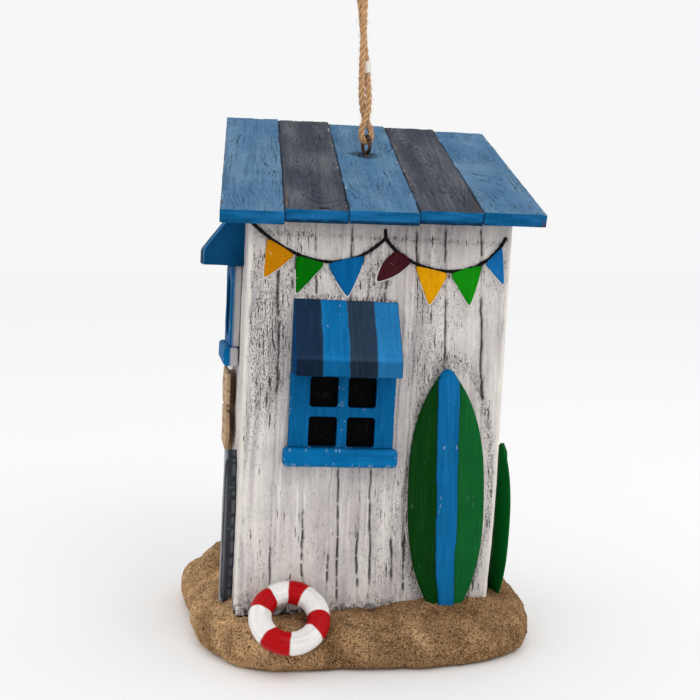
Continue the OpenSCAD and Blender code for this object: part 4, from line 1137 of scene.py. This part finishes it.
# ---- surfboards ----
# Three boards stood on their tails in the sand: a big green one with a raised blue stripe on the
# window wall, a plain dark green one by the right corner, and a grey one on the entrance wall.

board_gloss = painted("surfboard_paint", 0.38, 0.05, mottle=0.08, speck=900.0, streaks=(1, 1, 0.25),
                      bump_depth=0.00015, bump_amount=0.3)


def surfboard(name, length, width, stripe_w, tip_r, deck, edge_tone, stripe_tone, place, seed, node,
              thick=4.6):
    """A pointed board on its tail, its back on z = 0, with a crowned deck and a raised stripe."""
    us = np.sin(np.linspace(-math.pi / 2, math.pi / 2, 150))
    vs = np.concatenate([[-1, -0.97], np.linspace(-0.93, 0.93, 71), [0.97, 1]])
    points, faces = slab(vs, us, [0, 0.2, 0.5, 0.75, 0.9, 1.0])
    v, u, t = points.T
    half = width / 2 * np.maximum(1 - np.abs(u) ** 2.6, 0) ** 0.8
    from_tip = (1 - np.abs(u)) * length / 2
    end = np.sqrt(np.maximum(2 * tip_r * from_tip - from_tip ** 2, 0)) * (from_tip < 2 * tip_r)
    half = (half ** 4 + end ** 4) ** 0.25
    pull = np.where(t < 0.3, 0.35 * (0.3 - t) / 0.3, np.where(t > 0.8, 0.5 * (t - 0.8) / 0.2, 0))
    x = v * np.maximum(half - pull, 0.02)
    y = u * (length / 2 - 0.1)
    z = thick * t * (1 - 0.16 * np.abs(v) ** 3.0 * (t > 0.85))
    if thick < 4:  # a thin board is drawn in to a fine edge all round
        rim = np.maximum(np.abs(v) ** 4, step_up(np.abs(u), 0.86, 1.0))
        z = z * (1 - 0.62 * rim) + 0.31 * thick * rim
    sway = 0.5 * drift(y, 0, 26, 1, seed) + 0.12 * drift(y, 0, 6, 1, seed + 1)
    lane = stripe_w / 2 * (0.72 + 0.28 * step_up(u, -1.0, -0.1)) + 0.15 * drift(y, v > 0, 8, 1, seed + 2)
    in_lane = step_up(lane - np.abs(x - sway), -0.12, 0.22) * (t == 1)
    z = z + 0.72 * in_lane * (1 - 0.25 * ((x - sway) / max(stripe_w / 2, 1)) ** 2)
    z = np.where(t == 1, z + 0.08 * drift(x, y, 4, 12, seed + 3) * (np.abs(v) < 0.95), z)
    # Painted light and shade: the deck's left half takes the first, darker tone and its right half the
    # second, lighter one, as light and shade across its crown.
    tone = brushed(deck[0], y, x, seed + 4, nicks=0.35, nick_tone=(120, 160, 130))
    tone = mixed(tone, brushed(deck[1], y, x, seed + 20, nicks=0.35, nick_tone=(120, 160, 130)),
                 step_up(x - sway, -0.5, 0.5) * 0.85)
    tone = mixed(tone, brushed(stripe_tone, y, x, seed + 7, nicks=0.5), step_up(in_lane, 0.25, 0.6))
    tone = mixed(tone, stripe_tone, step_up(u, 0.94, 0.955) * (stripe_w > 7))
    lip = step_up(-t, -0.45, -0.1) * step_up(drift(y, x, 2.5, 1.2, seed + 8), -0.5, 0.1)
    tone = mixed(tone, edge_tone, lip * 0.85)
    tone = mixed(tone, deck[0], t < 0.1)
    groove = np.exp(-((np.abs(x - sway) - lane - 0.1) / 0.3) ** 2) * (t == 1)
    tone = mixed(tone, deck[0] * 0.35, 0.55 * groove)
    return piece(name, place(np.stack([x, y + length / 2, z], -1)), faces, board_gloss,
                 stands_for=[node], tints=tone)


board_foot, thin_board_t = 14, 3.0


def against_window_wall(p):
    """Flat against the window wall, leaning a little to the left."""
    q = turned(p, 0, 0, 2.4)
    return leaned(np.stack([35.8 + q[..., 0], front_y - q[..., 2], board_foot + q[..., 1]], -1))


def by_right_corner(p):
    """Upright beside the right wall, turned almost edge on to the window side."""
    q = turned(turned(p - np.array([0, 0, thin_board_t / 2]), 90, 0, 99), 0, 0.8, 0)
    return leaned(q + np.array([63.2, -33, board_foot]))


# Each board's two deck tones are its painted shaded half and its painted lit half.
green, lit_green = srgb(0, 54, 5), srgb(10, 92, 40)
surfboard("surfboard_green", 111, 33.2, 9.4, 2.7, (green, lit_green), srgb(196, 198, 192),
          srgb(6, 98, 152), against_window_wall, 1000, "surfboard_window_side")
surfboard("surfboard_dark_green", 76, 26, 6.6, 0.8, (srgb(4, 92, 32), srgb(4, 92, 32)), srgb(4, 66, 20),
          srgb(10, 92, 38), by_right_corner, 1040, "surfboard_right_side",
          thick=thin_board_t)
surfboard("surfboard_grey", 69, 21, 5.6, 1.6, (srgb(40, 42, 48), srgb(58, 60, 66)), srgb(120, 122, 128),
          srgb(150, 154, 160), on_entrance(-30, 15), 1080, "surfboard_entrance_side")

# ---- life ring ----
# A fat ring leaning on the wall with its foot in the sand, in glossy red and white by turns.

ring_paint = painted("ring_gloss_paint", 0.28, 0.1, mottle=0.05, speck=900.0, bump_depth=0.0001,
                     bump_amount=0.25)
ring_r, tube_r = 12.1, 4.9  # to the middle of the tube, and round it
big, small = 240, 44
w, q = np.meshgrid(np.arange(big) * 2 * math.pi / big, np.arange(small) * 2 * math.pi / small,
                   indexing="ij")
dent = 0.16 * drift(w * 14, np.cos(q) * 3, 5, 3, 1110) + 0.05 * drift(w * 14, q * 3, 1.2, 1.6, 1111)
degrees = np.degrees(w) + 2.2 * np.sin(q + 1) + 1.6 * drift(q * 3, w * 3, 2, 9, 1112)
red_arcs = [(125, 165), (55, 89), (-38, 2), (222, 268)]  # degrees, hand painted and uneven
red = np.zeros_like(w)
joint_line = np.full_like(w, 9.0)
for lo, hi in red_arcs:
    mid, half = (lo + hi) / 2, (hi - lo) / 2
    off = np.abs((degrees - mid + 180) % 360 - 180)
    red = np.maximum(red, step_up(half - off, -0.9, 0.9))
    joint_line = np.minimum(joint_line, np.abs(off - half) * 0.2)
swell = 1 - 0.035 * np.exp(-(joint_line / 0.5) ** 2)
r = tube_r * swell + dent - 0.12
ring_points = np.stack([(ring_r + r * np.cos(q)) * np.cos(w), (ring_r + r * np.cos(q)) * np.sin(w),
                        r * np.sin(q)], -1).reshape(-1, 3)
ring_red, ring_white = srgb(176, 4, 12), srgb(232, 229, 226)
tone = mixed(brushed(ring_white, w * 12, q * 4, 1120, nicks=0.0),
             brushed(ring_red, w * 12, q * 4, 1130, nick_tone=(214, 92, 92), nicks=0.5), red)
# The white is greyed brown in patches, more on the side of the tube towards the wall and down.
greyed_towards_back = step_up(drift(w * 12, q * 4, 2.2, 2.0, 1140) - np.sin(q) * 0.3, 0.55, 1.0)
tone = mixed(tone, srgb(150, 134, 118), 0.35 * greyed_towards_back * (1 - red))
i, j = np.meshgrid(np.arange(big), np.arange(small), indexing="ij")
i2, j2 = (i + 1) % big, (j + 1) % small
ring_faces = np.stack([i * small + j, i2 * small + j, i2 * small + j2, i * small + j2], -1)
ring_tilt, ring_place = 40, np.array([-37, -67.67, 22.6])
piece("life_ring_painted", turned(ring_points, ring_tilt, 0, 0) + ring_place,
      ring_faces.reshape(-1, 4), ring_paint, stands_for=["life_ring"],
      tints=tone.reshape(-1, 3))

# ---- bunting ----
# A black cord pinned in two swags under the eave, cast on the wall, with seven little painted
# flags hanging from it. Each flag is a soft-cornered triangle with white showing round its edge.

string_ends = [np.array([[-54.2, 182.3], [-38, 168], [-16, 160], [1.8, 178.6]]),
               np.array([[1.8, 178.6], [14, 163], [44, 160], [54, 181.6]])]


def on_string(s, t):
    """The point a share t along swag s, as [across, up] on the upright window wall."""
    q, k = string_ends[s], 1 - t
    return k ** 3 * q[0] + 3 * k * k * t * q[1] + 3 * k * t * t * q[2] + t ** 3 * q[3]


black_cord = painted("black_cord_paint", 0.6, 0.05, mottle=0.25, speck=900.0, bump_depth=0.0003)
cord_tree, given, done = new_tree("painted_cord", Thickness=0.0013, Waver=0.5, Seed=3)
even = add(cord_tree, "GeometryNodeResampleCurve", {"mode": "LENGTH"}, Curve=given.outputs[0],
           Length=0.0006)
far = add(cord_tree, "GeometryNodeSplineParameter").outputs["Length"]
lumpy = add(cord_tree, "ShaderNodeTexNoise", {"noise_dimensions": "1D"}, W=far, Scale=330.0, Detail=2.0)
thick = math_of(cord_tree, "MULTIPLY", given.outputs["Thickness"],
               math_of(cord_tree, "ADD", 0.5, math_of(cord_tree, "MULTIPLY", math_of(
                   cord_tree, "SUBTRACT", lumpy.outputs["Fac"], 0.5), given.outputs["Waver"])))
sized = add(cord_tree, "GeometryNodeSetCurveRadius", Curve=even.outputs[0], Radius=thick)
hoop = add(cord_tree, "GeometryNodeCurvePrimitiveCircle", Resolution=10, Radius=1.0)
skinned = add(cord_tree, "GeometryNodeCurveToMesh", Curve=sized.outputs[0],
              Profile_Curve=hoop.outputs[0], Fill_Caps=True)
if "Scale" in skinned.inputs:
    cord_tree.links.new(thick, skinned.inputs["Scale"])
finished = add(cord_tree, "GeometryNodeSetMaterial", Geometry=skinned.outputs[0], Material=black_cord)
cord_tree.links.new(finished.outputs[0], done.inputs[0])
for s, side_name in enumerate(("left", "right")):
    flat = np.array([on_string(s, t) for t in np.linspace(0, 1, 60)])
    if s == 0:  # its loose end stands up from the middle peg
        flat = np.vstack([flat, [[1.75, 180.4], [1.6, 182.4]]])
    stood = leaned(np.stack([flat[:, 0], np.full(len(flat), front_y - 0.45), flat[:, 1]], 1))
    cord = dressed(open_line("string_line", stood), cord_tree, f"bunting_cord_{side_name}",
                   Thickness=0.0014)
    tint = cord.data.color_attributes.new("paint", "FLOAT_COLOR", "POINT")
    tint.data.foreach_set("color", np.tile([*srgb(20, 19, 22), 1], len(cord.data.vertices)))
    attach(cord, "birdhouse")
    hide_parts(f"bunting_string_{side_name}")

flag_gloss = painted("flag_paint", 0.45, 0.03, mottle=0.07, speck=900.0, bump_depth=0.00015)
flag_drop, flag_t, per_side = 0.9, 1.58, 32
rim_steps = 3 * per_side
flag_white = srgb(222, 219, 214)
# The yellow, green and blue flags on the right are painted lighter than the same colours on the left:
# painted light from the right.
# Each flag: its swag, where its two corners hang on it, its tip, its colour and its slot.
flags = [(0, 0.13, 0.34, (-48.5, 159.6), srgb(186, 120, 2), "yellow_flag"),
         (0, 0.35, 0.56, (-34.9, 153.4), srgb(1, 104, 2), "green_flag"),
         (0, 0.58, 0.85, (-13, 153.2), srgb(3, 92, 150), "blue_flag"),
         (1, 0.10, 0.24, (-1.4, 160.2), srgb(62, 20, 27), "maroon_flag"),
         (1, 0.275, 0.51, (22, 151), srgb(216, 152, 4), "yellow_flag"),
         (1, 0.53, 0.765, (39.6, 151.5), srgb(16, 132, 10), "green_flag"),
         (1, 0.79, 0.95, (54.2, 161.2), srgb(20, 104, 168), "blue_flag")]
for n, (s, t0, t1, tip, colour, slot) in enumerate(flags, 1):
    corner = np.array([on_string(s, t0) - [0, flag_drop], on_string(s, t1) - [0, flag_drop], tip])
    if np.cross(corner[1] - corner[0], corner[2] - corner[0]) < 0:
        corner = corner[[0, 2, 1]]
    centre = corner.mean(0)
    spin = np.linspace(0, 2 * math.pi, rim_steps + 1)[:-1]
    outline = []
    for e in range(3):
        p0, p1 = corner[e], corner[(e + 1) % 3]
        t = np.linspace(0, 1, per_side, endpoint=False)[:, None]
        swell = 1.5 if n == 4 else 0.35  # the maroon one is plump
        bow = np.sin(np.pi * t) * (0.25 * drift(e, n, 1, 1, 1200 + n) + swell)
        normal = np.array([(p1 - p0)[1], -(p1 - p0)[0]]) / np.linalg.norm(p1 - p0)
        outline.append(p0 * (1 - t) + p1 * t + bow * normal)
    outline = np.vstack(outline)
    for _ in range(9):  # soft corners
        outline = (np.roll(outline, 1, 0) + 2 * outline + np.roll(outline, -1, 0)) / 4
    # Rings from the wall to the crown, as (share of the outline, distance out).
    rings = [(1.0, 0.0), (1.0, 0.3), (1.0, 0.55), (0.995, 0.95), (0.965, 1.22), (0.93, 1.36),
             (0.75, 1.5), (0.5, 1.56), (0.25, flag_t)]
    pts, tone = [], []
    low_side = (centre[1] - outline[:, 1]) / 4
    rim = step_up(drift(spin * 6, n, 1.1, 1, 1230 + n) + low_side, -0.1, 0.5)
    for share, out in rings:
        share = share + 0.1 * rim[:, None] * (out < 0.5)
        flat = centre + (outline - centre) * share
        bump = 0.1 * drift(flat[:, 0], flat[:, 1], 3, 3, 1210 + n) if out > 1.3 else 0
        pts.append(np.stack([flat[:, 0], np.full(rim_steps, front_y) - out - bump, flat[:, 1]], 1))
        paint = brushed(colour, flat[:, 1], flat[:, 0], 1220 + n, nicks=0.4, nick_tone=(220, 220, 214))
        paint = mixed(paint, flag_white, rim * (out < 0.7))
        tone.append(paint)
    pts.append(np.array([[centre[0], front_y - flag_t, centre[1]]]))
    tone.append(brushed(colour, centre[1:], centre[:1], 1220 + n))
    turns = [(i, (i + 1) % rim_steps) for i in range(rim_steps)]
    starts = [k * rim_steps for k in range(len(rings) + 1)]
    faces = [(a + i, a + j, b + j, b + i) for a, b in zip(starts[:-2], starts[1:-1]) for i, j in turns]
    faces += [(starts[-2] + i, starts[-2] + j, starts[-1]) for i, j in turns]
    faces.append(tuple(range(rim_steps))[::-1])
    piece(f"flag_{n}_{slot.split('_')[0]}", leaned(np.vstack(pts)), faces, flag_gloss,
          stands_for=[f"bunting_flag_{n}"], tints=np.vstack(tone))

# ---- eye ----
# An oval of dark bronze wire on a shank cast into the middle board, rubbed bright where the rope
# and fingers touch it.

bronze, tree, shader = new_finish("dark_bronze", 0.42, 0.5)
shader.inputs["Metallic"].default_value = 0.75
where = add(tree, "ShaderNodeTexCoord").outputs["Object"]
rubbed = add(tree, "ShaderNodeTexNoise", Vector=where, Scale=520.0, Detail=5.0, Roughness=0.65)
ramped(tree, shader, rubbed, [(0.35, (40, 30, 28)), (0.55, (66, 50, 46)), (0.72, (120, 92, 74))],
       bump_amount=0.5)
nodes["hanger_eye"].data.materials.clear()
nodes["hanger_eye"].data.materials.append(bronze)

# ---- stopper ----
# A black rubber cup pushed up into the base from below, with a grip bar across its hollow. It
# pulls out so that an old nest can be cleared away.

rubber, tree, shader = new_finish("black_rubber", 0.7, 0.3)
where = add(tree, "ShaderNodeTexCoord").outputs["Object"]
dusty = add(tree, "ShaderNodeTexNoise", Vector=where, Scale=260.0, Detail=6.0, Roughness=0.7)
ramped(tree, shader, dusty, [(0.3, (22, 22, 23)), (0.75, (66, 62, 58))], bump_amount=0.3)
nodes["cleanout_stopper"].data.materials.clear()
nodes["cleanout_stopper"].data.materials.append(rubber)
